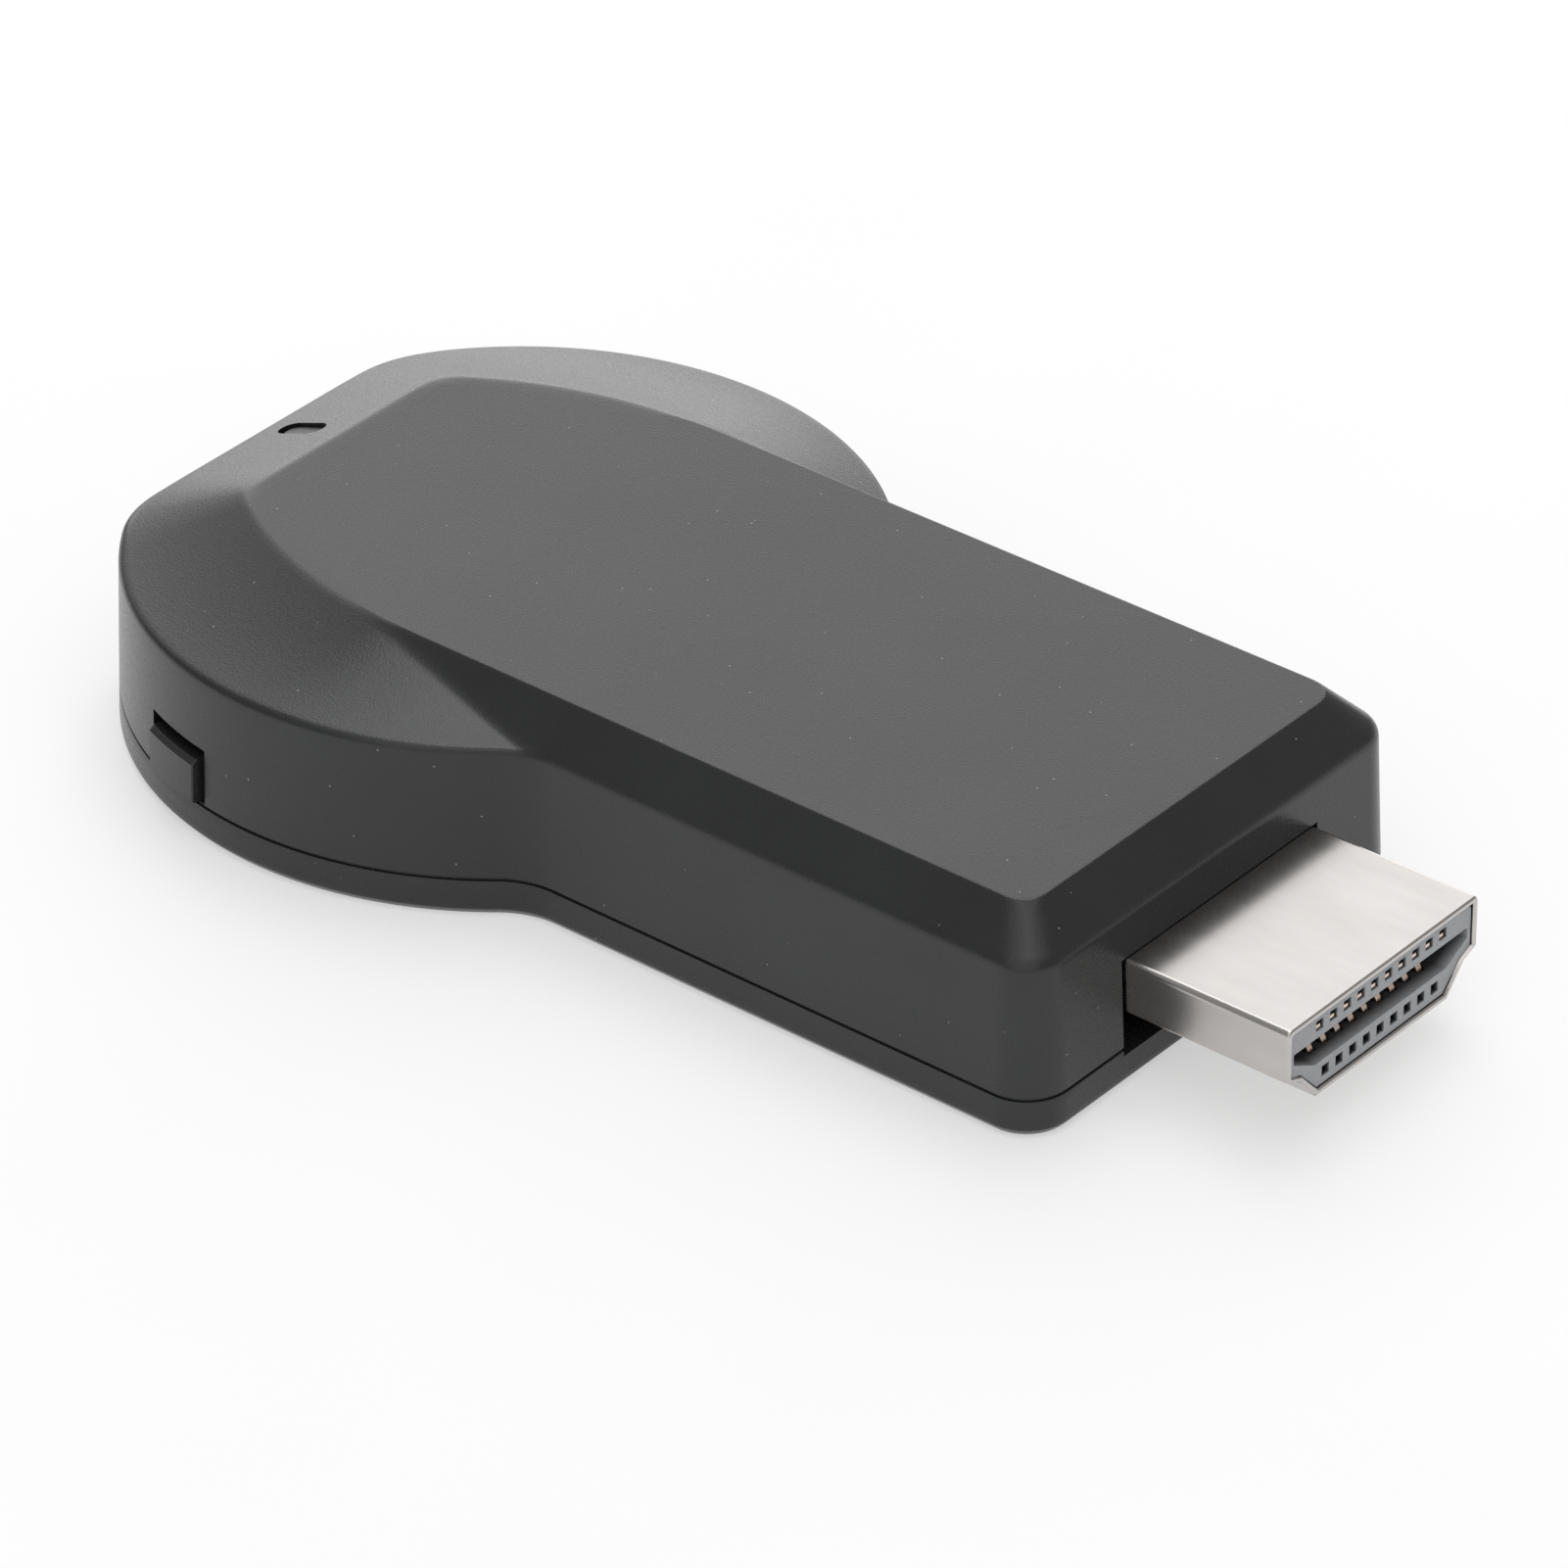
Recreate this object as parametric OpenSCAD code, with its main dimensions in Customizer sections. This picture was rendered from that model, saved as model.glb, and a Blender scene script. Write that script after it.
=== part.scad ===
// Wireless display dongle: a round-headed moulded case round one circuit board, with a 19-contact
// video plug at the front, a micro power socket on the far side of the head and a mode key on the near side.
// The origin is on the underside, midway along the overall length. X runs toward the plug and Z up.

/* [Case] */
// Length of the case on its underside, flat end to front face
case_len = 57.9; // [54:0.1:66]
// Diameter of the round head on the underside
head_d = 36.8; // [34:0.1:42]
// Width of the head's flat end, measured between its corners before they are rounded
end_w = 17.8; // [14:0.1:22]
// Width of the neck on the underside
neck_w = 26.9; // [24.5:0.1:30]
// Height of the flat top
case_h = 10.7; // [10.2:0.1:12.5]
// Height of the rim, where the walls turn into the slopes
rim_h = 8.7; // [8.2:0.1:9.4]
// Height of the joint line between the two shells
seam_h = 2; // [1.7:0.05:2.3]
// Inward lean of the walls, in degrees
draft_deg = 2.4; // [0.5:0.1:3]
// Width of the steep bevel along the neck and the front
bevel_w = 1.9; // [1.2:0.1:2.6]
// Radius of the round end of the flat top, about the head's centre
top_end_r = 11.2; // [9:0.1:13]
// Distance from the head's centre to the straight far edge of the flat top
top_back = 9.8; // [8:0.1:11]
// Hollow of the head's slope, measured from its chord
slope_sag = 0.3; // [0:0.05:0.5]
// Radius of the two corners of the flat end
end_r = 6; // [4:0.1:8]
// Radius of the neck's two front corners
corner_r = 2.4; // [2.1:0.1:3.5]
// Radius of the hollow where the neck meets the head
blend_r = 4; // [2:0.1:6]
// Chamfer round the underside
foot_chamfer = 0.4; // [0.1:0.05:0.6]

/* [Shells] */
// Thickness of the side walls
wall_t = 1.5; // [1.1:0.05:1.7]
// Thickness of the roof, measured upright
roof_t = 1.4; // [1:0.05:1.6]
// Thickness of the floor
floor_t = 1.2; // [0.8:0.05:1.3]
// Thickness of the upright lip on the lower shell
lip_t = 0.7; // [0.5:0.05:0.9]
// Rise of the lip above the joint line
lip_rise = 0.7; // [0.4:0.05:0.7]
// Gap between the lip and the upper shell's wall
lip_gap = 0.08; // [0.04:0.01:0.2]
// Depth of the fine groove along the joint line
seam_groove = 0.12; // [0.05:0.01:0.2]
// Diameter of the board's support posts
post_d = 3; // [2.4:0.1:3.4]
// Diameter of the pins on the posts
pin_d = 1.4; // [1:0.05:1.6]
// Gap between a pin and its hole
pin_gap = 0.05; // [0.03:0.01:0.1]
// Gap between a clamping boss and the board
boss_gap = 0.1; // [0.05:0.01:0.2]

/* [Mode key] */
// Bearing of the key round the head, in degrees from the plug's direction
key_angle = -105.7; // [-112:0.1:-100]
// Width of the key
key_w = 3.75; // [3:0.05:4.2]
// Height of the key's top edge
key_top = 4.4; // [4.3:0.05:4.8]
// How far the key's face stands out of the wall
key_proud = 0.42; // [0.1:0.01:0.6]
// Chamfer on the key's top edge
key_chamfer = 0.2; // [0.1:0.05:0.4]
// Gap at each side of the key
key_gap = 0.35; // [0.2:0.01:0.5]
// Gap above the key
key_top_gap = 0.55; // [0.3:0.01:0.7]
// Thickness of the flange that keeps the key in the case
flange_t = 0.6; // [0.4:0.05:0.7]
// How far the flange reaches past the key's opening
flange_lap = 0.7; // [0.5:0.05:0.9]
// Distance that the key travels when pressed
key_travel = 0.25; // [0.15:0.01:0.3]

/* [Indicator] */
// Length of the oval lamp window
window_l = 2.5; // [2:0.1:3.2]
// Width of the oval lamp window
window_w = 1.1; // [0.8:0.05:1.4]
// Share of the far slope's run at which the window sits, from the rim
window_share = 0.47; // [0.35:0.01:0.6]
// Distance of the window's middle from the case's middle, toward the power socket's side
window_off = 0.4; // [-1:0.1:1]
// Depth of the window below the slope
window_sunk = 0.12; // [0:0.01:0.3]
// Gap round the window
window_gap = 0.09; // [0.03:0.01:0.12]

/* [Video plug] */
// Width of the plug's shell
plug_w = 13.9; // [13.6:0.05:14.1]
// Height of the plug's shell
plug_h = 4.45; // [4.3:0.05:4.6]
// How far the plug stands out of the case
plug_reach = 8.7; // [7.5:0.1:12]
// Height of the plug's top face
plug_top = 6.5; // [6.4:0.05:6.8]
// Height of the plug's full-width sides
plug_side = 2.7; // [2.5:0.05:2.9]
// Inward step at the foot of the sides
plug_step = 0.95; // [0.7:0.05:1.1]
// Drop of the step
plug_step_drop = 0.3; // [0.1:0.05:0.4]
// Width of the plug's lower face
plug_foot_w = 9.6; // [9.2:0.05:10]
// Radius of the plug's outer corners
plug_corner = 0.5; // [0.35:0.05:0.6]
// Thickness of the plug's sheet metal
plug_sheet = 0.3; // [0.2:0.05:0.35]
// Length of the plug's shell inside the case's front face
plug_root = 5.2; // [4.4:0.1:6]
// Gap between the plug and its opening
plug_gap = 0.15; // [0.08:0.01:0.25]
// Drop of the opening below the plug
plug_under_gap = 0.45; // [0.2:0.05:0.6]
// Depth of the insulator's face inside the shell
face_sunk = 0.15; // [0.05:0.05:0.3]
// Spacing of the contacts in a row
contact_pitch = 1; // [0.98:0.01:1.02]
// Width of one contact
contact_w = 0.34; // [0.26:0.02:0.4]
// Thickness of one contact
contact_t = 0.2; // [0.15:0.01:0.22]
// Side of the square holes in the face
hole_w = 0.54; // [0.46:0.01:0.6]

/* [Board] */
// Thickness of the circuit board
board_t = 1; // [0.8:0.05:1.1]
// Height of the board's underside
board_z = 3.1; // [3.05:0.05:3.3]
// Gap between the board and the walls
board_gap = 0.4; // [0.2:0.05:0.6]

/* [Power socket] */
// Width of the power socket's shell
socket_w = 7.5; // [7:0.1:8]
// Height of the power socket's shell
socket_h = 2.6; // [2.4:0.05:2.7]
// Depth of the power socket
socket_l = 5; // [4.6:0.1:5.6]
// Thickness of the power socket's sheet metal
socket_sheet = 0.25; // [0.2:0.01:0.3]
// Depth of the socket's mouth inside the wall's face
socket_sunk = 0.4; // [0.1:0.05:0.8]
// Gap round the socket's mouth
socket_gap = 0.25; // [0.15:0.05:0.4]

/* [Hidden] */

// Smoothness of the large round faces, of the small ones and of short arcs
$fn = 96;
fine_fn = 32;
arc_steps = 5;

// One overrun serves every cut, and round faces run this far into the flat ones that they meet
over = 1;
bite = 0.01;

// Places along X that follow from the case
total_len = case_len + plug_reach;
back_x = -total_len / 2;
front_x = back_x + case_len;
tip_x = total_len / 2;
head_r = head_d / 2;
head_back = sqrt(head_r * head_r - end_w * end_w / 4);
head_x = back_x + head_back;
neck_half = neck_w / 2;
lean = tan(draft_deg);

// Heights inside the case
board_top = board_z + board_t;
key_foot = seam_h + seam_groove;

// The wall stands this far inside its underside line at height z
function lean_at(z) = z * lean;

// A prism along Y from an outline in X and Z, and one along X from an outline in Y and Z
module along_y(width) {
    rotate([90, 0, 0]) linear_extrude(width, center = true) children();
}
module along_x(from_x, to_x) {
    translate([from_x, 0, 0]) rotate([90, 0, 90]) linear_extrude(to_x - from_x) children();
}

// A plate with rounded corners, longer along X, and one with fully round ends
module rounded_plate(length, width, height, radius) {
    linear_extrude(height) {
        square([length - 2 * radius, width], center = true);
        if (width > 2 * radius) square([length, width - 2 * radius], center = true);
        for (side_x = [-1, 1], side_y = [-1, 1])
            translate([side_x * (length / 2 - radius), side_y * (width / 2 - radius)])
            circle(radius, $fn = fine_fn);
    }
}
module oval(length, width, height) {
    rounded_plate(length, width, height, width / 2);
}

// A block centred in plan that stands on the given height
module block(size_x, size_y, size_z) {
    translate([-size_x / 2, -size_y / 2, 0]) cube([size_x, size_y, size_z]);
}

// Points of an arc in plan
function arc(centre, radius, from, to) =
    [for (k = [0:arc_steps]) let (a = from + (to - from) * k / arc_steps) centre + radius * [cos(a), sin(a)]];

// Plan of the case between two heights, drawn in by one inset at the lower height and by another at the upper one
module plan_solid(z0, z1, in0, in1) {
    blend_x = head_x + sqrt(pow(head_r + blend_r, 2) - pow(neck_half + blend_r, 2));
    blend_y = neck_half + blend_r;
    corner = max(corner_r, in0 + seam_groove, in1 + seam_groove);
    axis_x = front_x - corner;
    axis_y = neck_half - corner;
    rise = z1 - z0;
    end_x = head_back - end_r;
    end_y = sqrt(pow(head_r - end_r, 2) - end_x * end_x);
    difference() {
        intersection() {
            translate([head_x, 0, z0]) cylinder(h = rise, r1 = head_r - in0, r2 = head_r - in1);
            along_y(2 * head_d) polygon([[back_x + in0, z0], [back_x + in1, z1], [front_x, z1], [front_x, z0]]);
        }
        for (side = [-1, 1]) translate([head_x, 0, z0]) linear_extrude(rise)
            polygon([[-end_x, side * end_y], [-head_d, side * end_y], [-2 * end_x, 2 * side * end_y]]);
    }
    along_x(head_x, axis_x)
        polygon([[in0 - neck_half, z0], [neck_half - in0, z0], [neck_half - in1, z1], [in1 - neck_half, z1]]);
    along_y(2 * axis_y) polygon([[head_x, z0], [front_x - in0, z0], [front_x - in1, z1], [head_x, z1]]);
    for (side = [-1, 1]) {
        translate([head_x - end_x, side * end_y, z0])
            cylinder(h = rise, r1 = end_r - in0 + bite, r2 = end_r - in1 + bite);
        translate([axis_x, side * axis_y, z0])
            cylinder(h = rise, r1 = corner - in0 + bite, r2 = corner - in1 + bite);
        difference() {
            translate([0, 0, z0]) linear_extrude(rise)
                polygon([[head_x, 0], [blend_x, 0], [blend_x, side * blend_y]]);
            translate([blend_x, side * blend_y, z0])
                cylinder(h = rise, r1 = blend_r + in0 + bite, r2 = blend_r + in1 + bite);
        }
    }
}

// Everything below the top faces, lowered by drop
module under_top(drop) {
    rim_in = lean_at(rim_h);
    top_half = neck_half - rim_in - bevel_w;
    rim_r = head_r - rim_in;
    fall = case_h - rim_h;
    run = rim_r - top_end_r;
    chord = sqrt(run * run + fall * fall);
    // The slope's hollow is a shallow bow below its chord
    bow = [for (k = [0:arc_steps]) let (t = k / arc_steps, dip = 4 * slope_sag * t * (1 - t))
        [top_end_r + run * t - dip * fall / chord, case_h - fall * t - dip * run / chord]];
    far_r = head_r + over;
    translate([0, 0, -drop]) {
        intersection() {
            translate([head_x, 0, 0]) rotate_extrude()
                polygon(concat([[0, -case_h], [0, case_h]], bow, [[far_r, rim_h], [far_r, -case_h]]));
            along_y(2 * head_d) polygon([
                [back_x + rim_in - over, rim_h - over * fall / (head_back - rim_in - top_back)],
                [head_x - top_back, case_h], [front_x, case_h], [front_x, -case_h],
                [back_x + rim_in - over, -case_h]]);
        }
        intersection() {
            along_x(head_x, front_x + over) polygon([
                [-top_half, case_h], [top_half, case_h],
                [top_half + bevel_w + over, rim_h - over * fall / bevel_w],
                [top_half + bevel_w + over, -case_h], [-top_half - bevel_w - over, -case_h],
                [-top_half - bevel_w - over, rim_h - over * fall / bevel_w]]);
            along_y(neck_w + 2 * over) polygon([
                [head_x, case_h], [front_x - rim_in - bevel_w, case_h],
                [front_x - rim_in + over, rim_h - over * fall / bevel_w],
                [front_x - rim_in + over, -case_h], [head_x, -case_h]]);
        }
    }
}

// The case as one solid, with its walls drawn in by inset and its top lowered by drop
module case_form(inset, drop) {
    intersection() {
        plan_solid(0, case_h, inset, inset + lean_at(case_h));
        under_top(drop);
    }
}

module slab(z0, z1) {
    translate([back_x - over, -head_r - over, z0]) cube([case_len + 2 * over, head_d + 2 * over, z1 - z0]);
}

// Board posts, as shares of the head's and the neck's board
post_head_share = [0.62, 0.62];
post_neck_share = [0.84, 0.86];
function board_half() = neck_half - lean_at(board_z) - wall_t - board_gap;
function board_r() = head_r - lean_at(board_z) - wall_t - board_gap;
board_front = front_x - plug_root - plug_sheet;
function head_at(share) = [head_x + board_r() * share[0], board_r() * share[1]];
function neck_at(share) = [head_x + (board_front - head_x) * share[0], board_half() * share[1]];
posts = [for (side = [-1, 1]) each [head_at([-post_head_share[0], side * post_head_share[1]]),
    neck_at([post_neck_share[0], side * post_neck_share[1]])]];
pin_top = board_top + boss_gap + pin_d / 2;

// Key, in its own frame: X runs outward from the head's centre
open_w = key_w + 2 * key_gap;
open_top = key_top + key_top_gap;
flange_w = open_w + 2 * flange_lap;
inner_r = head_r - wall_t - lean_at(open_top + flange_lap);
flange_face = sqrt(inner_r * inner_r - flange_w * flange_w / 4) - key_gap / 2;
flange_back = flange_face - flange_t;
module key_frame() {
    translate([head_x, 0, 0]) rotate(key_angle) children();
}

// Lamp window
window_x = back_x + lean_at(rim_h) + (head_back - lean_at(rim_h) - top_back) * window_share;
lamp_l = 1.6;
lamp_w = 0.8;
lamp_h = 0.6;

// Outline of the plug's shell drawn in by inset, with its top face at zero height
function plug_half(inset) = let (
        w = plug_w / 2 - inset, r = plug_corner - inset / 2,
        side = -plug_side + inset / 2, step_z = -plug_side - plug_step_drop + inset / 2)
    concat(arc([w - r, -inset - r], r, 90, 0),
        arc([w - r, side + r / 2], r, 0, -60),
        [[plug_w / 2 - plug_step - inset / 2, step_z], [plug_foot_w / 2 - inset / 2, inset - plug_h]]);
function mirrored(points) = [for (k = [len(points) - 1:-1:0]) [-points[k][0], points[k][1]]];
module plug_outline(inset) {
    translate([0, plug_top]) polygon(concat(plug_half(inset), mirrored(plug_half(inset))));
}

plug_back = front_x - plug_root;
face_x = tip_x - face_sunk;
fit_gap = 0.06;
// Drops of the two contact rows and of the slot between them below the plug's top face
upper_row_drop = 0.87;
lower_row_drop = 3.47;
slot_top_drop = 1.5;
slot_side_drop = 2.05;
slot_foot_drop = 2.85;
slot_margin = 0.6;
row_upper = plug_top - upper_row_drop;
row_lower = plug_top - lower_row_drop;
slot_top = plug_top - slot_top_drop;
slot_side = plug_top - slot_side_drop;
slot_foot = plug_top - slot_foot_drop;
slot_half = plug_w / 2 - slot_margin;
slot_foot_half = plug_foot_w / 2;
// Depth of the slot, of the closed face and of the stretch where the rows open into the slot
slot_depth = 7.5;
face_web = 0.7;
spring_l = 4.5;
spring_dip = 0.3;
tail_l = 1.5;

top_color = "#2f2f31";
bottom_color = "#2c2c2e";

module top_shell() {
    color(top_color) difference() {
        union() {
            difference() {
                intersection() {
                    case_form(0, 0);
                    slab(seam_h, case_h + over);
                }
                case_form(wall_t, roof_t);
            }
            // Bosses that clamp the board over the pins, and a rib that holds the plug down
            intersection() {
                union() {
                    for (spot = posts) translate([spot[0], spot[1], board_top + boss_gap])
                        cylinder(h = case_h, d = post_d, $fn = fine_fn);
                    translate([plug_back + plug_root / 4, -plug_w / 4, plug_top])
                        cube([plug_root / 4, plug_w / 2, case_h]);
                }
                case_form(wall_t / 2, roof_t / 2);
            }
        }
        for (spot = posts) translate([spot[0], spot[1], 0])
            cylinder(h = pin_top + boss_gap, d = pin_d + 2 * pin_gap, $fn = fine_fn);
        // Opening for the plug
        translate([plug_back, -plug_w / 2 - plug_gap, 0])
            cube([plug_reach + plug_root, plug_w + 2 * plug_gap, plug_top + plug_gap / 3]);
        // Opening for the key
        key_frame() translate([flange_back - key_travel, -open_w / 2, 0]) cube([head_r, open_w, open_top]);
        // Mouth of the power socket
        translate([head_x, 0, board_top + socket_h / 2]) rotate([-90, 0, 0])
            rounded_plate(socket_w + 2 * socket_gap, socket_h + 2 * socket_gap, head_d, 2 * socket_gap);
        // Lamp window
        translate([window_x, window_off, board_top]) oval(window_l + 2 * window_gap, window_w + 2 * window_gap, case_h);
    }
}

module bottom_shell() {
    color(bottom_color) difference() {
        union() {
            difference() {
                intersection() {
                    plan_solid(0, seam_h, 0, lean_at(seam_h));
                    plan_solid(0, seam_h, foot_chamfer, foot_chamfer - seam_h);
                }
                plan_solid(floor_t, case_h, wall_t + lean_at(floor_t), wall_t + lean_at(case_h));
            }
            lip();
            for (spot = posts) translate([spot[0], spot[1], 0]) {
                cylinder(h = board_z, d = post_d, $fn = fine_fn);
                cylinder(h = pin_top, d = pin_d, $fn = fine_fn);
            }
            // Saddle under the plug
            translate([plug_back + plug_root / 8, -plug_foot_w * 3 / 8, 0])
                cube([plug_root / 2, plug_foot_w * 3 / 4, plug_top - plug_h]);
        }
        // Fine groove along the joint line
        difference() {
            slab(seam_h - seam_groove, seam_h);
            plan_solid(0, case_h, seam_groove, seam_groove + lean_at(case_h));
        }
        // Foot of the plug's opening
        translate([front_x - wall_t - lip_t - lip_gap, -plug_w / 2 - plug_gap, plug_top - plug_h - plug_under_gap])
            cube([plug_reach, plug_w + 2 * plug_gap, plug_h]);
    }
}

// Lip of the lower shell inside the upper shell's wall, broken at the key and at the plug
module lip() {
    lip_in = wall_t + lip_gap;
    difference() {
        plan_solid(floor_t / 2, seam_h + lip_rise, lip_in + lean_at(floor_t / 2), lip_in + lean_at(seam_h + lip_rise));
        plan_solid(0, case_h, lip_in + lip_t, lip_in + lip_t + lean_at(case_h));
        key_frame() translate([flange_back - key_travel - lip_gap, -flange_w / 2 - key_gap, seam_h])
            cube([head_r, flange_w + 2 * key_gap, case_h]);
        translate([front_x - wall_t - 2 * lip_t, -plug_w / 2 - plug_gap, seam_h - plug_under_gap])
            cube([case_len, plug_w + 2 * plug_gap, case_h]);
    }
}

module mode_key() {
    face_r = head_r + key_proud;
    color(top_color) {
        intersection() {
            key_frame() translate([flange_back, -key_w / 2, key_foot]) cube([head_r, key_w, key_top - key_foot]);
            translate([head_x, 0, 0]) rotate_extrude() polygon([
                [0, key_foot], [face_r - lean_at(key_foot), key_foot],
                [face_r - lean_at(key_top - key_chamfer), key_top - key_chamfer],
                [face_r - lean_at(key_top) - key_chamfer, key_top], [0, key_top]]);
        }
        key_frame() translate([flange_back, -flange_w / 2, key_foot])
            cube([flange_t, flange_w, open_top + flange_lap - key_foot]);
    }
}

// The window reaches from just above the lamp to the slope, with a foot glued under the roof
module lamp_window() {
    foot_z = board_top + lamp_h + window_sunk;
    color("#3a3a3c") {
        intersection() {
            translate([window_x, window_off, foot_z]) oval(window_l, window_w, case_h);
            case_form(0, window_sunk);
        }
        intersection() {
            translate([window_x, window_off, foot_z + window_w]) oval(window_l + window_w, 2 * window_w, case_h);
            case_form(wall_t, roof_t);
        }
    }
}

module main_board() {
    edge_x = back_x + lean_at(board_z) + wall_t + board_gap;
    color("#1d5c3a") translate([0, 0, board_z]) linear_extrude(board_t) difference() {
        union() {
            intersection() {
                translate([head_x, 0]) circle(board_r());
                translate([edge_x, -head_r]) square([head_d, head_d]);
            }
            translate([head_x, -board_half()]) square([board_front - head_x, 2 * board_half()]);
        }
        for (spot = posts) translate(spot) circle(d = pin_d + 2 * pin_gap, $fn = fine_fn);
        // Notch that clears the key's flange
        translate([head_x, 0]) rotate(key_angle)
            translate([flange_back - key_travel - board_gap, -flange_w / 2 - board_gap])
            square([head_r, flange_w + 2 * board_gap]);
    }
}

module plug_shell() {
    tab_h = plug_side / 2;
    color("#c9c7c2") {
        difference() {
            along_x(plug_back, tip_x) plug_outline(0);
            along_x(plug_back - over, tip_x + over) plug_outline(plug_sheet);
        }
        // Tabs soldered to the board
        for (side = [0, 1]) mirror([0, side, 0])
            translate([board_front - tail_l, plug_w / 2 - plug_sheet, board_top])
            cube([plug_back - board_front + 2 * tail_l, plug_sheet, tab_h]);
    }
}

// Places of the contacts across the plug
upper_row = [for (k = [0:9]) (k - 4.5) * contact_pitch];
lower_row = [for (k = [0:8]) (k - 4) * contact_pitch];
spring_back = face_x - face_web - spring_l;

module plug_insulator() {
    color("#7d8288") difference() {
        along_x(board_front, face_x) plug_outline(plug_sheet + fit_gap);
        along_x(face_x - slot_depth, tip_x) polygon([
            [-slot_half, slot_top], [slot_half, slot_top], [slot_half, slot_side],
            [slot_foot_half, slot_foot], [-slot_foot_half, slot_foot], [-slot_half, slot_side]]);
        for (y = upper_row) {
            translate([board_front - over, y - hole_w / 2, row_upper - hole_w / 2])
                cube([face_x - board_front + 2 * over, hole_w, hole_w]);
            translate([spring_back, y - hole_w / 2, slot_foot + spring_dip])
                cube([spring_l, hole_w, row_upper - slot_foot - spring_dip]);
        }
        for (y = lower_row) {
            translate([board_front - over, y - hole_w / 2, row_lower - hole_w / 2])
                cube([face_x - board_front + 2 * over, hole_w, hole_w]);
            translate([spring_back, y - hole_w / 2, row_lower])
                cube([spring_l, hole_w, slot_top - spring_dip - row_lower]);
        }
    }
}

// A bent metal strip seen from its side, from a list of points along its middle
module strip(points, width, thick) {
    along_y(width) polygon(concat(
        [for (p = points) p + [0, thick / 2]],
        [for (k = [len(points) - 1:-1:0]) points[k] - [0, thick / 2]]));
}

// One plug contact: its bowed spring reaches into the slot and its tail lies on the board
module plug_contact(row_z, bow_z, tail_z, bend_x) {
    front = face_x - face_web - spring_dip;
    slope = abs(tail_z - row_z) + contact_t;
    strip([
        [front, (row_z + bow_z) / 2], [front - spring_l / 6, bow_z], [front - spring_l / 4, bow_z],
        [spring_back + spring_dip, row_z], [bend_x, row_z], [bend_x - slope, tail_z],
        [min(bend_x - slope, board_front) - tail_l, tail_z]], contact_w, contact_t);
}

module plug_upper_contacts() {
    color("#c98f5a") for (y = upper_row) translate([0, y, 0])
        plug_contact(row_upper, slot_top - spring_dip, board_top + contact_t / 2, board_front);
}

module plug_lower_contacts() {
    color("#c98f5a") for (y = lower_row) translate([0, y, 0])
        plug_contact(row_lower, slot_foot + spring_dip, board_z - contact_t / 2, board_front + plug_root / 4);
}

// Power socket, in its own frame: X runs across, Z up from the board, and the mouth faces the far side
socket_mouth = head_r - lean_at(board_top) - socket_sunk;
tongue_z = socket_h * 0.5;
tongue_t = 0.5;
tongue_w = 3.7;
pin_pitch = 0.65;
pin_w = 0.25;
pin_t = 0.12;
socket_back_t = 1.1;
module socket_frame(from_mouth, length) {
    translate([head_x, socket_mouth - from_mouth, board_top]) rotate([90, 0, 0])
        linear_extrude(length) children();
}
module socket_outline(inset) {
    half = socket_w / 2 - inset;
    slant = socket_h / 3;
    polygon([
        [-half + slant, inset], [half - slant, inset], [half, slant + inset],
        [half, socket_h - inset], [-half, socket_h - inset], [-half, slant + inset]]);
}

module power_socket_shell() {
    color("#bfc0c2") difference() {
        socket_frame(0, socket_l) socket_outline(0);
        socket_frame(-over, socket_l + 2 * over) socket_outline(socket_sheet);
    }
}

module power_socket_tongue() {
    color("#1b1b1c") {
        socket_frame(socket_l - socket_back_t, socket_back_t)
            translate([-socket_w / 2 + socket_sheet, tongue_z])
            square([socket_w - 2 * socket_sheet, socket_h - socket_sheet - tongue_z]);
        socket_frame(socket_l / 5, socket_l * 4 / 5)
            translate([-tongue_w / 2, tongue_z]) square([tongue_w, tongue_t]);
    }
}

module power_socket_contacts() {
    contact_z = board_top + tongue_z - pin_t / 2;
    tail_z = board_top + pin_t / 2;
    socket_end = socket_mouth - socket_l;
    color("#c98f5a") for (k = [-2:2])
        translate([head_x + k * pin_pitch, 0, 0]) rotate(90)
        strip([
            [socket_mouth - socket_l / 4, contact_z], [socket_end - pin_w, contact_z],
            [socket_end - pin_w - tongue_z, tail_z], [socket_end - pin_w - tongue_z - pin_pitch, tail_z]],
            pin_w, pin_t);
}

// Key switch, in the key's frame, standing on the board behind the key's flange
switch_w = 4.2;
switch_l = 2.8;
switch_h = 1.9;
switch_sheet = 0.15;
switch_reach = 0.9;
touch_gap = 0.03;
stem_w = 1.7;
stem_h = 0.8;
collar_w = 2.4;
collar_h = 1;
collar_t = 0.5;
well_gap = 0.08;
well_l = 2.1;
dome_t = 0.1;
dome_rise = 0.35;
plunger_tip = flange_back - touch_gap;
switch_front = plunger_tip - switch_reach;
stem_z = board_top + switch_h / 2;

module switch_body() {
    color("#1a1a1a") key_frame() difference() {
        translate([switch_front - switch_l, -switch_w / 2, board_top]) cube([switch_l, switch_w, switch_h]);
        translate([switch_front - well_l, -collar_w / 2 - well_gap, stem_z - collar_h / 2 - well_gap])
            cube([well_l + over, collar_w + 2 * well_gap, collar_h + 2 * well_gap]);
    }
}

module switch_cover() {
    color("#c6c6c6") key_frame() {
        translate([switch_front - switch_l, -switch_w / 2, board_top + switch_h])
            cube([switch_l + switch_sheet, switch_w, switch_sheet]);
        difference() {
            translate([switch_front, -switch_w / 2, board_top]) cube([switch_sheet, switch_w, switch_h]);
            translate([switch_front - over, -stem_w / 2 - well_gap, stem_z - stem_h / 2 - well_gap])
                cube([2 * over, stem_w + 2 * well_gap, stem_h + 2 * well_gap]);
        }
    }
}

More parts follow.
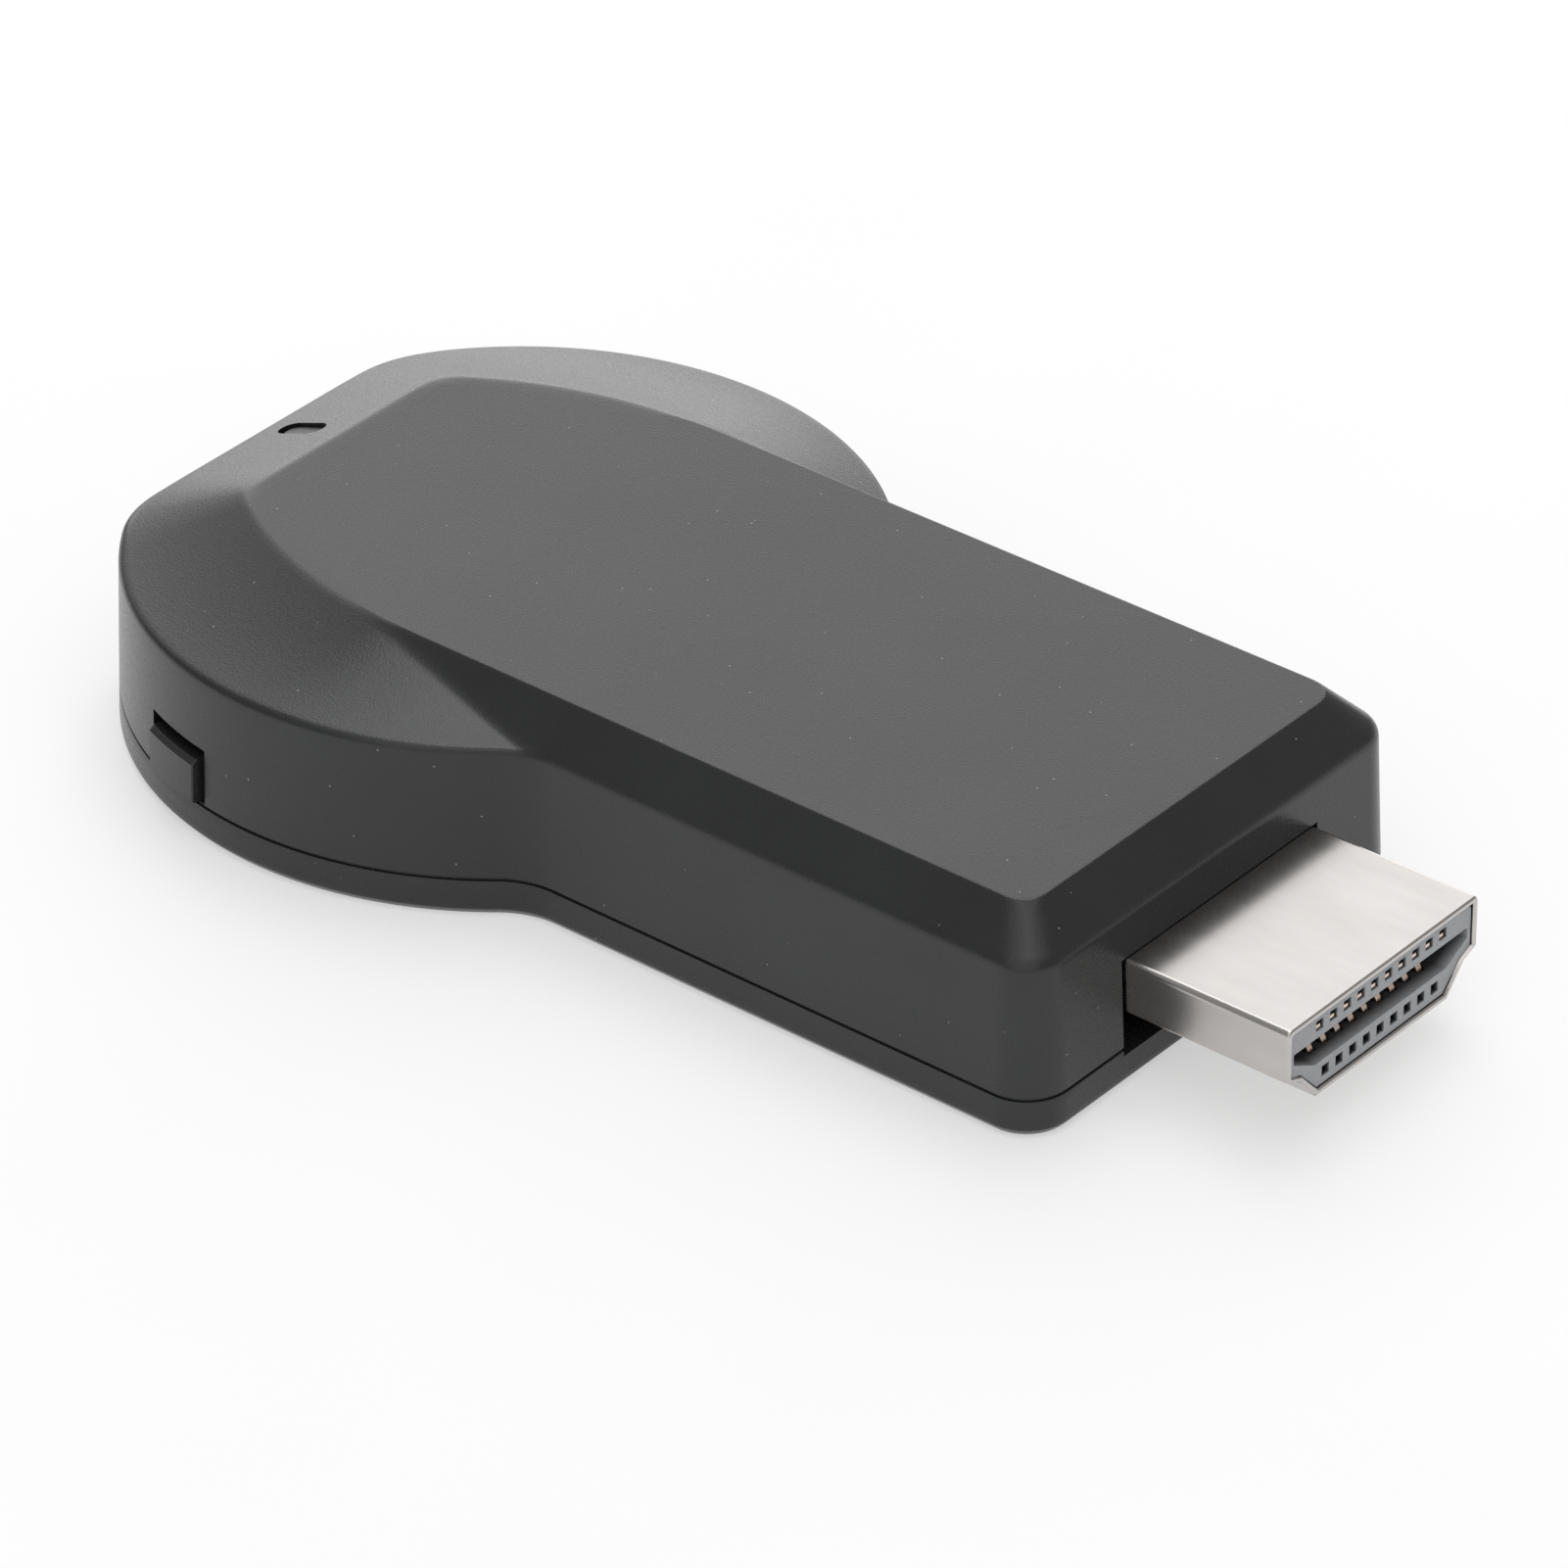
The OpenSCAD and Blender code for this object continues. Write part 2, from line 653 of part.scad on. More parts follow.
module switch_plunger() {
    collar_front = switch_front - well_gap;
    color("#4a4a4c") key_frame() {
        translate([collar_front - collar_t, -collar_w / 2, stem_z - collar_h / 2])
            cube([collar_t, collar_w, collar_h]);
        translate([collar_front - collar_t, -stem_w / 2, stem_z - stem_h / 2])
            cube([plunger_tip - collar_front + collar_t, stem_w, stem_h]);
    }
}

// Arched snap spring that pushes the plunger out
module switch_dome() {
    half = collar_w / 2;
    crown = switch_front - well_gap - collar_t;
    radius = (half * half + dome_rise * dome_rise) / (2 * dome_rise);
    spread = asin(half / radius);
    color("#d2d2d0") key_frame() translate([0, 0, stem_z - stem_h / 2]) linear_extrude(stem_h)
        polygon(concat(
            arc([crown - radius, 0], radius, spread, -spread),
            arc([crown - radius, 0], radius - dome_t, -spread, spread)));
}

// Chips and small parts on the board: sizes, then places as shares of the head or of the neck
processor_w = 13;
processor_base = 0.5;
processor_lid = 0.8;
pad_t = 0.5;
heatsink_w = 14;
heatsink_base = 1;
heatsink_gap = 0.4;
fin_count = 7;
memory_size = [10.5, 7.5, 1];
flash_size = [8, 6, 1.2];
radio_w = 12;
radio_t = 0.8;
radio_notch_d = 0.7;
radio_notches = 9;
shield_w = 10.4;
shield_h = 1.4;
shield_t = 0.15;
radio_chip_w = 5;
radio_chip_h = 0.85;
antenna_size = [3.2, 1.6, 1.2];
crystal_size = [3.2, 2.5, 0.8];
inductor_w = 3;
inductor_h = 1.5;
regulator_size = [2.9, 1.6, 1.1];
bulk_size = [3.2, 1.6, 1.6];
cap_size = [1.6, 0.8, 0.8];
resistor_size = [1, 0.5, 0.35];
array_size = [2.5, 1, 0.55];
part_gap = 0.5;

processor_share = [0.39, 0];
memory_share = [0.5, 0.375];
flash_share = [-0.25, 0];
radio_share = [-0.26, 0];
inductor_share = [0.3, 0.8];
regulator_share = [0.42, 0.8];
bulk_shares = [[0.27, -0.58], [0.27, -0.785]];
cap_along_shares = [0.52, 0.59, 0.66, 0.73];
cap_across_share = 0.84;
resistor_along_shares = [0.44, 0.5, 0.56, 0.62, 0.68, 0.74];
resistor_across_share = 0.92;
array_share = [0.82, 0.27];
antenna_across_share = 0.72;
antenna_spot = [head_x + (socket_w + antenna_size[0]) / 2 + part_gap, board_r() * antenna_across_share];

module on_board(spot) {
    translate([spot[0], spot[1], board_top]) children();
}
module under_board(spot, height) {
    translate([spot[0], spot[1], board_z - height]) children();
}
module chip(size) {
    block(size[0], size[1], size[2]);
}

module processor() {
    color("#232323") on_board(neck_at(processor_share)) {
        block(processor_w, processor_w, processor_base);
        translate([0, 0, processor_base])
            block(processor_w - 2 * processor_lid, processor_w - 2 * processor_lid, processor_lid);
    }
}

pad_z = processor_base + processor_lid;
module thermal_pad() {
    pad_w = processor_w - 2 * processor_lid;
    color("#8fa3b5") on_board(neck_at(processor_share)) translate([0, 0, pad_z]) block(pad_w, pad_w, pad_t);
}

module heatsink() {
    fin_t = heatsink_w / (2 * fin_count - 1);
    full_h = case_h - roof_t - heatsink_gap - board_top - pad_z - pad_t;
    color("#a8abae") on_board(neck_at(processor_share)) translate([0, 0, pad_z + pad_t]) {
        block(heatsink_w, heatsink_w, heatsink_base);
        for (k = [0:fin_count - 1])
            translate([-heatsink_w / 2, -heatsink_w / 2 + 2 * k * fin_t, 0])
            cube([heatsink_w, fin_t, full_h]);
    }
}

module memory_chips() {
    color("#202022") for (side = [-1, 1])
        under_board(neck_at([memory_share[0], side * memory_share[1]]), memory_size[2]) chip(memory_size);
}

module flash_chip() {
    color("#202022") under_board(head_at(flash_share), flash_size[2]) chip(flash_size);
}

// Radio module with half-round solder notches along two edges
module radio_board() {
    color("#1f4f6b") on_board(head_at(radio_share)) difference() {
        block(radio_w, radio_w, radio_t);
        for (side = [-1, 1], k = [1:radio_notches])
            translate([(k / (radio_notches + 1) - 1 / 2) * radio_w, side * radio_w / 2, -over])
            cylinder(h = radio_t + 2 * over, d = radio_notch_d, $fn = fine_fn);
    }
}

module radio_chip() {
    color("#232325") on_board(head_at(radio_share)) translate([0, 0, radio_t])
        block(radio_chip_w, radio_chip_w, radio_chip_h);
}

module radio_shield() {
    color("#c4c6c8") on_board(head_at(radio_share)) translate([0, 0, radio_t]) difference() {
        block(shield_w, shield_w, shield_h);
        translate([0, 0, -over])
            block(shield_w - 2 * shield_t, shield_w - 2 * shield_t, shield_h - shield_t + over);
    }
}

module antenna() {
    color("#e6e2d8") on_board(antenna_spot) chip(antenna_size);
}

module crystals() {
    color("#cfd0d2") for (side = [-1, 1])
        under_board(head_at(flash_share) + [0, side * (flash_size[1] + crystal_size[1] + 2 * part_gap) / 2],
            crystal_size[2]) chip(crystal_size);
}

module power_inductors() {
    color("#3a3a3a") for (side = [-1, 1]) on_board(neck_at([inductor_share[0], side * inductor_share[1]]))
        chip([inductor_w, inductor_w, inductor_h]);
}

module regulators() {
    color("#242424") for (side = [-1, 1]) on_board(neck_at([regulator_share[0], side * regulator_share[1]]))
        chip(regulator_size);
}

module bulk_capacitors() {
    color("#c9a227") for (share = bulk_shares) on_board(head_at(share)) chip(bulk_size);
}

module small_capacitors() {
    color("#b89b74") for (side = [-1, 1], along = cap_along_shares)
        on_board(neck_at([along, side * cap_across_share])) chip(cap_size);
}

module resistors() {
    color("#1e1e20") for (side = [-1, 1], along = resistor_along_shares)
        on_board(neck_at([along, side * resistor_across_share])) chip(resistor_size);
}

module protection_arrays() {
    color("#222224") for (side = [-1, 1])
        under_board(neck_at([array_share[0], side * array_share[1]]), array_size[2]) chip(array_size);
}

module status_lamp() {
    color("#f2efe2") on_board([window_x, window_off]) block(lamp_l, lamp_w, lamp_h);
}

top_shell();
bottom_shell();
mode_key();
lamp_window();
main_board();
plug_shell();
plug_insulator();
plug_upper_contacts();
plug_lower_contacts();
power_socket_shell();
power_socket_tongue();
power_socket_contacts();
switch_body();
switch_plunger();
switch_dome();
switch_cover();
processor();
thermal_pad();
heatsink();
memory_chips();
flash_chip();
radio_board();
radio_chip();
radio_shield();
antenna();
crystals();
power_inductors();
regulators();
bulk_capacitors();
small_capacitors();
resistors();
protection_arrays();
status_lamp();
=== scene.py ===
import math

import bmesh
import bpy
from mathutils import Matrix, Vector


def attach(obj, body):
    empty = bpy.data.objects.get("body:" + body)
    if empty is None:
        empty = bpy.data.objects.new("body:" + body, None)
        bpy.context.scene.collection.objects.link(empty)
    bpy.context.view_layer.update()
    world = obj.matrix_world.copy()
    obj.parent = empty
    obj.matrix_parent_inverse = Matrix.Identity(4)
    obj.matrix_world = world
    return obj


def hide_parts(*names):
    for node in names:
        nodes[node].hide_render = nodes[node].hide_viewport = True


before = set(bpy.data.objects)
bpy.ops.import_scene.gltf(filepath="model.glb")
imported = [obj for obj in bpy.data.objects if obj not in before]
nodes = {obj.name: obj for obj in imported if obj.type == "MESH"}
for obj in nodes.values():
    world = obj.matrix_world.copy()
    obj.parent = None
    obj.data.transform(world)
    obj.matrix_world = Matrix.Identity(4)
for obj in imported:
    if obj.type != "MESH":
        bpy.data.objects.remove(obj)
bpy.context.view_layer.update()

# Upper shell
# The upper half of the case is one injection-moulded piece of ABS. Its flat top falls away in a steep
# bevel along the neck and in wide, slightly hollow slopes round the head, and four bosses inside it clamp
# the board onto the lower shell's pins.
mm = 0.001

# The case in plan, in millimetres: a round head with one flat end, blended into a straight neck
case_front = 24.6
case_back = -33.3
head_radius = 18.4
end_width = 17.8
end_radius = 6.0
neck_half = 13.45
corner_radius = 2.4
least_corner = 0.12
blend_radius = 4.0
head_back = math.sqrt(head_radius ** 2 - end_width ** 2 / 4)
head_x = case_back + head_back

# Its heights and its wall, which leans inward by 2.4 degrees
top_height = 10.7
rim_height = 8.7
seam_height = 2.0
wall_lean = math.tan(math.radians(2.4))
wall_thickness = 1.5
roof_thickness = 1.4
rim_rounding = 0.35
edge_rounding = 0.05

# The flat top, the neck's bevel and the head's slopes
bevel_width = 1.9
top_corner = 1.4
top_round = 11.2
top_back = 10.3
top_turn = 0.5
slope_hollow = 0.15
shoulder_radius = 22.0
shoulder_x = -14.5
shoulder_inset = 0.15
shoulder_start = 4.7
shoulder_run = 5.0

# Width of the rounding where two of these faces meet. A growth is what it gains per millimetre of depth,
# and a run is the length over which it comes in.
ridge_rounding, ridge_growth = 0.45, 0.2
front_rounding, front_growth = 1.7, 0.4
valley_rounding, valley_run, bevel_run = 0.32, 3, 2
crest_rounding = 0.06

# Points along each run of half an outline, in order from the plug's end to the flat end
front_steps, corner_steps, neck_steps, blend_steps = 8, 12, 20, 14
side_steps, rear_steps, end_steps, flat_steps = 60, 44, 16, 10


def arc(centre_x, centre_y, radius, start, end, steps):
    """Points of an arc in plan, without its last point."""
    angles = [math.radians(start + (end - start) * k / steps) for k in range(steps)]
    return [(centre_x + radius * math.cos(a), centre_y + radius * math.sin(a)) for a in angles]


def line(start, end, steps):
    """Points of a straight run in plan, without its last point."""
    return [(start[0] + (end[0] - start[0]) * k / steps, start[1] + (end[1] - start[1]) * k / steps)
            for k in range(steps)]


def between(start, end, share):
    """The point at a share of the way from one point to another."""
    return start[0] + (end[0] - start[0]) * share, start[1] + (end[1] - start[1]) * share


def both_halves(half):
    """The whole outline from its half on the far side, which runs from the plug's end to the flat end."""
    return half + [(x, -y) for x, y in reversed(half[1:-1])]


blend_x = head_x + math.sqrt((head_radius + blend_radius) ** 2 - (neck_half + blend_radius) ** 2)
blend_y = neck_half + blend_radius
blend_angle = math.degrees(math.atan2(blend_y, blend_x - head_x))
end_x = head_back - end_radius
end_y = math.sqrt((head_radius - end_radius) ** 2 - end_x ** 2)
end_angle = 180 - math.degrees(math.atan2(end_y, end_x))


def case_outline(inset):
    """Plan of the case drawn in by inset. Every outline has its points in the same order."""
    corner = max(corner_radius, inset + least_corner)
    corner_x, corner_y = case_front - corner, neck_half - corner
    back = case_back + inset
    half = line((case_front - inset, 0), (case_front - inset, corner_y), front_steps)
    half += arc(corner_x, corner_y, corner - inset, 0, 90, corner_steps)
    half += line((corner_x, neck_half - inset), (blend_x, neck_half - inset), neck_steps)
    half += arc(blend_x, blend_y, blend_radius + inset, -90, blend_angle - 180, blend_steps)
    half += arc(head_x, 0, head_radius - inset, blend_angle, 90, side_steps)
    half += arc(head_x, 0, head_radius - inset, 90, end_angle, rear_steps)
    half += arc(head_x - end_x, end_y, end_radius - inset, end_angle, 180, end_steps)
    half += line((back, end_y), (back, 0), flat_steps) + [(back, 0)]
    return both_halves(half)


top_half = neck_half - wall_lean * rim_height - bevel_width
shoulder_y = top_half - shoulder_inset - shoulder_radius


def shoulder_share(x):
    """How far the flat top's edge follows its shoulder arc at x, which takes over just before the head."""
    t = min(max((head_x + shoulder_start - x) / shoulder_run, 0), 1)
    return t * t * (3 - 2 * t)


def top_edge(x):
    """Half the flat top's width at x."""
    plain = top_half if x > head_x else math.sqrt(top_round ** 2 - (x - head_x) ** 2)
    arched = shoulder_y + math.sqrt(max(shoulder_radius ** 2 - (x - shoulder_x) ** 2, 0))
    return plain + (arched - plain) * shoulder_share(x)


def top_outline():
    """Outline of the flat top, with its points in the same order as the case's."""
    front = case_front - wall_lean * rim_height - bevel_width
    half = line((front, 0), (front, top_half - top_corner), front_steps)
    half += arc(front - top_corner, top_half - top_corner, top_corner, 0, 90, corner_steps)
    half += line((front - top_corner, top_half), (blend_x, top_half), neck_steps)
    before = blend_steps + side_steps
    behind = rear_steps + end_steps // 2
    spots = [blend_x + (head_x - blend_x) * k / before for k in range(before)]
    spots += [head_x - top_back * math.sin(math.radians(90) * k / behind) for k in range(behind + 1)]
    half += [(x, top_edge(x)) for x in spots]
    x, y = half.pop()
    half += line((x, y), (x, y - top_turn), end_steps // 2)
    half += line((x, y - top_turn), (x, 0), flat_steps) + [(x, 0)]
    return both_halves(half)


def smooth_min(a, b, width):
    """The lower of two heights, with a rounded edge where they meet."""
    overlap = max(width - abs(a - b), 0) / max(width, 1e-9)
    return min(a, b) - overlap * overlap * width / 4


def slope_dip(share):
    """How far the hollow slope lies below a straight one, at a share of the way down."""
    return 4 * slope_hollow * share * (1 - share) if share > 0 else 4 * slope_hollow * share


def slope_height(radius):
    """Height of the head's hollow slope at a distance from the head's centre."""
    run = head_radius - wall_lean * rim_height - top_round
    fall = top_height - rim_height
    chord = math.hypot(run, fall)
    share = (radius - top_round) / run
    # The dip is square to the slope, so it also moves a point inward; three rounds settle the share
    for _ in range(3):
        share = (radius - top_round + slope_dip(share) * fall / chord) / run
    return rim_height if share >= 1 else top_height - fall * share - slope_dip(share) * run / chord


def shoulder_height(x, y):
    """Height of the head's shoulders. Their level lines are arcs, from the flat top's to the rim's."""
    px, py = x - shoulder_x, abs(y) - shoulder_y
    dx, dy = head_x - shoulder_x, -shoulder_y
    widening = head_radius - wall_lean * rim_height - shoulder_radius
    a = dx * dx + dy * dy - widening ** 2
    b = px * dx + py * dy + shoulder_radius * widening
    c = px * px + py * py - shoulder_radius ** 2
    share = min((b - math.sqrt(max(b * b - a * c, 0))) / a, 1)
    return top_height - (top_height - rim_height) * share - max(slope_dip(share), 0)


def top_surface(x, y):
    """Height of the case's top over a point in plan."""
    fall = top_height - rim_height
    rim_in = wall_lean * rim_height
    end_slope = top_height - (head_x - x - top_back) * fall / (head_back - rim_in - top_back)
    round_slope = slope_height(math.hypot(x - head_x, y))
    round_slope += (shoulder_height(x, y) - round_slope) * shoulder_share(x)
    depth = max(top_height - min(end_slope, round_slope), 0)
    height = smooth_min(end_slope, round_slope, ridge_rounding + ridge_growth * depth)
    if x > head_x:
        steep = fall / bevel_width
        side = top_height - (abs(y) - top_edge(x)) * steep
        front = top_height - (x - (case_front - rim_in - bevel_width)) * steep
        drop = max(top_height - min(side, front), 0)
        bevel = smooth_min(side, front, front_rounding + front_growth * drop)
        # Within the flat top's edge the bevel takes over from the slope over the neck's first 2 mm
        bevel -= max(bevel - height, 0) * (1 - min((x - head_x) / bevel_run, 1))
        fade = min((x - head_x) / valley_run, 1)
        height = -smooth_min(-bevel, -height, valley_rounding * fade * fade * (3 - 2 * fade))
    return smooth_min(height, top_height, crest_rounding + crest_rounding * shoulder_share(x))


def loft(name, loops, closed_ends=(True, True)):
    """A mesh from loops of points in millimetres, each joined to the next one, with the ends filled."""
    mesh = bmesh.new()
    rings = [[mesh.verts.new(Vector(p) * mm) for p in loop] for loop in loops]
    count = len(rings[0])
    for lower, upper in zip(rings, rings[1:]):
        for k in range(count):
            mesh.faces.new((lower[k], lower[(k + 1) % count], upper[(k + 1) % count], upper[k]))
    for ring, wanted in ((rings[0], closed_ends[0]), (rings[-1], closed_ends[1])):
        if wanted:
            mesh.faces.new(ring)
    bmesh.ops.recalc_face_normals(mesh, faces=mesh.faces)
    data = bpy.data.meshes.new(name)
    mesh.to_mesh(data)
    mesh.free()
    return data


def make_piece(name, data, sharp_angle=38):
    """An object from a mesh, smooth except at edges sharper than the angle."""
    data.polygons.foreach_set("use_smooth", [True] * len(data.polygons))
    data.set_sharp_from_angle(angle=math.radians(sharp_angle))
    piece = bpy.data.objects.new(name, data)
    bpy.context.scene.collection.objects.link(piece)
    piece.modifiers.new("shading", "WEIGHTED_NORMAL").keep_sharp = True
    return piece


def join_meshes(name, parts):
    """One mesh from several."""
    mesh = bmesh.new()
    for part in parts:
        mesh.from_mesh(part)
    data = bpy.data.meshes.new(name)
    mesh.to_mesh(data)
    mesh.free()
    return data


def cut(data, cutters):
    """The mesh with closed cutter meshes taken out of it."""
    target = bpy.data.objects.new("uncut", data)
    bpy.context.scene.collection.objects.link(target)
    tools = []
    for cutter in cutters:
        tool = bpy.data.objects.new("cutter", cutter)
        bpy.context.scene.collection.objects.link(tool)
        modifier = target.modifiers.new("cut", "BOOLEAN")
        modifier.operation, modifier.solver, modifier.object = "DIFFERENCE", "EXACT", tool
        tools.append(tool)
    graph = bpy.context.evaluated_depsgraph_get()
    result = bpy.data.meshes.new_from_object(target.evaluated_get(graph))
    for item in [target] + tools:
        bpy.data.objects.remove(item)
    return result


def at_height(points, z):
    """An outline in plan, set at a height."""
    return [(x, y, z) for x, y in points]


def lathe(name, profile, centre, steps=32):
    """A turned mesh from radius and height pairs about an upright axis."""
    loops = []
    for radius, z in profile:
        ring = [(centre[0] + radius * math.cos(math.tau * k / steps),
                 centre[1] + radius * math.sin(math.tau * k / steps), z) for k in range(steps)]
        loops.append(ring)
    return loft(name, loops)


def prism(name, outline, place, span):
    """A mesh from an outline, run between two distances. place gives the point for (u, v, distance)."""
    return loft(name, [[place(u, v, distance) for u, v in outline] for distance in span])


def box_outline(u0, v0, u1, v1):
    """Outline of a box from two opposite corners."""
    return [(u0, v0), (u1, v0), (u1, v1), (u0, v1)]


def rounded_box_outline(half_u, half_v, radius, steps=6):
    """Outline of a box with rounded corners about its middle."""
    points = []
    for sign_u, sign_v, start in ((1, 1, 0), (-1, 1, 90), (-1, -1, 180), (1, -1, 270)):
        u, v = sign_u * (half_u - radius), sign_v * (half_v - radius)
        end = math.radians(start + 90)
        points += arc(u, v, radius, start, start + 90, steps)
        points.append((u + radius * math.cos(end), v + radius * math.sin(end)))
    return points


# The rim and the flat top's edge in plan, rings inside that edge by their distance from it, heights of the
# wall's rows, and numbers of rows on the slopes, round the rim and under the roof
rim_points = case_outline(wall_lean * rim_height)
flat_points = top_outline()
top_rings = (1.0, 0.4, 0.2, 0.1, 0.04)
wall_heights = [seam_height + edge_rounding, 2.4, 3.2, 4.2, 5.4, 6.6, 7.6]
inner_height = 5.0
slope_rows, rim_rows, roof_rows = 30, 7, 8


def upper_loops():
    """Loops of the upper shell: out over its top, round the rim, down the wall and up inside."""
    loops = []
    for inward in top_rings:
        loop = []
        for x, y in flat_points:
            spine_x = max(min(x, case_front - neck_half - bevel_width), head_x)
            reach = math.hypot(x - spine_x, y)
            px, py = x + (spine_x - x) * inward / reach, y - y * inward / reach
            loop.append((px, py, top_surface(px, py)))
        loops.append(loop)
    for row in range(slope_rows + 1):
        share = row / slope_rows
        loop = []
        for rim, flat in zip(rim_points, flat_points):
            rounded = rim_rounding / math.dist(rim, flat)
            x, y = between(rim, flat, 1 - (1 - rounded) * share)
            loop.append((x, y, top_surface(x, y)))
        loops.append(loop)
    brink = loops[-1]
    wall_top = case_outline(wall_lean * (rim_height - rim_rounding))
    for row in range(1, rim_rows + 1):
        u = row / rim_rows
        loop = []
        for above, rim, below in zip(brink, rim_points, wall_top):
            corner = Vector((*rim, rim_height))
            foot = Vector((*below, rim_height - rim_rounding))
            loop.append(tuple(Vector(above) * (1 - u) ** 2 + corner * 2 * u * (1 - u) + foot * u * u))
        loops.append(loop)
    for z in reversed(wall_heights):
        loops.append(at_height(case_outline(wall_lean * z), z))
    loops.append(at_height(case_outline(wall_lean * seam_height + edge_rounding), seam_height))
    for z in (seam_height, inner_height):
        loops.append(at_height(case_outline(wall_thickness + wall_lean * z), z))
    eaves = case_outline(wall_thickness + wall_lean * (rim_height - 1))
    for row in range(roof_rows + 1):
        loop = []
        for eave, flat in zip(eaves, flat_points):
            x, y = between(eave, flat, row / roof_rows)
            loop.append((x, y, top_surface(x, y) - roof_thickness))
        loops.append(loop)
    return loops


# The notch for the mode key, measured out from the head's centre in the direction that the key faces
key_bearing = math.radians(-105.7)
key_out = Vector((math.cos(key_bearing), math.sin(key_bearing), 0))
key_side = Vector((-math.sin(key_bearing), math.cos(key_bearing), 0))
key_half, key_top, key_gap = 1.875, 4.4, 0.35
flange_half, flange_back = 2.925, 15.629
notch_half, notch_top, notch_span = key_half + key_gap, 4.95, (flange_back - 0.25, 22)


def on_key(u, v, distance):
    """A point in the key's frame: u across it, v up, and a distance out from the head's centre."""
    return tuple(Vector((head_x, 0, v)) + key_out * distance + key_side * u)


# The opening for the video plug
plug_half, plug_top, plug_gap = 6.95, 6.5, 0.15
plug_hole_half, plug_hole_top, plug_hole_span = plug_half + plug_gap, plug_top + 0.05, (19.4, 30)


def along_plug(u, v, distance):
    """A point in the plug's frame: u across it, v up, and a distance along the case."""
    return distance, u, v


# The opening for the power socket, which is in the middle of the head's far wall
board_top = 4.1
socket_middle, socket_hole_span = 1.3, (12, 24)
socket_hole_half, socket_hole_rise, socket_hole_corner = 4.0, 1.55, 0.5


def across_socket(u, v, distance):
    """A point in the socket's frame: u along the case, v up, and a distance across the case."""
    return head_x + u, distance, v


# The hole for the lamp window, nearly half the way up the end slope
window_share = 0.47
rim_inset = wall_lean * rim_height
window_x = case_back + rim_inset + (head_back - rim_inset - top_back) * window_share
window_off, window_half, window_side, window_gap = 0.4, 1.25, 0.55, 0.09
window_hole_half, window_hole_side = window_half + window_gap, window_side + window_gap
window_hole_span, window_hole_steps = (6.5, 12), 10


def over_window(u, v, height):
    """A point in the window's frame: u along the case, v across it, and a height."""
    return window_x + u, window_off + v, height


notch = prism("notch", box_outline(-notch_half, 0, notch_half, notch_top), on_key, notch_span)
plug_hole = prism("plug_hole", box_outline(-plug_hole_half, 0, plug_hole_half, plug_hole_top), along_plug,
                  plug_hole_span)
socket_outline = rounded_box_outline(socket_hole_half, socket_hole_rise, socket_hole_corner)
socket_hole = prism("socket_hole", [(u, v + board_top + socket_middle) for u, v in socket_outline],
                    across_socket, socket_hole_span)
window_outline = rounded_box_outline(window_hole_half, window_hole_side, window_hole_side - 0.01,
                                     window_hole_steps)
window_hole = prism("window_hole", window_outline, over_window, window_hole_span)
upper = cut(loft("upper", upper_loops()), [notch, plug_hole, socket_hole, window_hole])

# The bosses over the pins, and the bar over the plug. A turned shape ends a hair short of its axis.
post_places = [(-27.345, 10.149), (-27.345, -10.149), (13.293, 9.821), (13.293, -9.821)]
hair, post_radius = 0.02, 1.5
bore_radius, bore_top, boss_foot, boss_root = 0.75, 5.0, 4.2, 9.0
boss_profile = [(hair, bore_top), (bore_radius, bore_top), (bore_radius, boss_foot),
                (post_radius, boss_foot), (post_radius, boss_root), (hair, boss_root)]
bosses = [lathe("boss", boss_profile, spot) for spot in post_places]
bar_half, bar_root, bar_span = 3.475, 9.6, (20.7, 22.0)
hold_down = prism("hold_down", box_outline(-bar_half, plug_top, bar_half, bar_root), along_plug, bar_span)
upper_mesh = join_meshes("upper_case_shell", [upper, hold_down] + bosses)
upper_shell = make_piece("upper_case_shell", upper_mesh, sharp_angle=34)


def linear(code):
    """Linear colour from an sRGB hex code."""
    values = [int(code[i:i + 2], 16) / 255 for i in (1, 3, 5)]
    return tuple(v / 12.92 if v <= 0.04045 else ((v + 0.055) / 1.055) ** 2.4 for v in values) + (1.0,)


def new_material(name):
    """An empty node material and its surface shader."""
    material = bpy.data.materials.new(name)
    material.use_nodes = True
    return material, material.node_tree, material.node_tree.nodes["Principled BSDF"]


def fill(tree, node, inputs):
    """Sets a node's inputs, each of them to a value or to another node's output."""
    for name, value in inputs.items():
        if isinstance(value, bpy.types.NodeSocket):
            tree.links.new(value, node.inputs[name])
        else:
            node.inputs[name].default_value = value


def add(tree, kind, inputs=None, stops=(), **settings):
    """One node with its inputs and settings; stops are a ramp's places and colours."""
    node = tree.nodes.new(kind)
    for name, value in settings.items():
        setattr(node, name, value)
    fill(tree, node, inputs or {})
    for k, (position, colour) in enumerate(stops):
        elements = node.color_ramp.elements
        if k == len(elements):
            elements.new(position)
        elements[k].position, elements[k].color = position, colour
    return node


def two_tones(dark, light, low=0.3, high=0.7):
    """Ramp stops for two near tones of one colour, from their hex codes."""
    return [(low, linear(dark)), (high, linear(light))]


def paint(piece, material):
    """Gives a piece this one material."""
    piece.data.materials.clear()
    piece.data.materials.append(material)


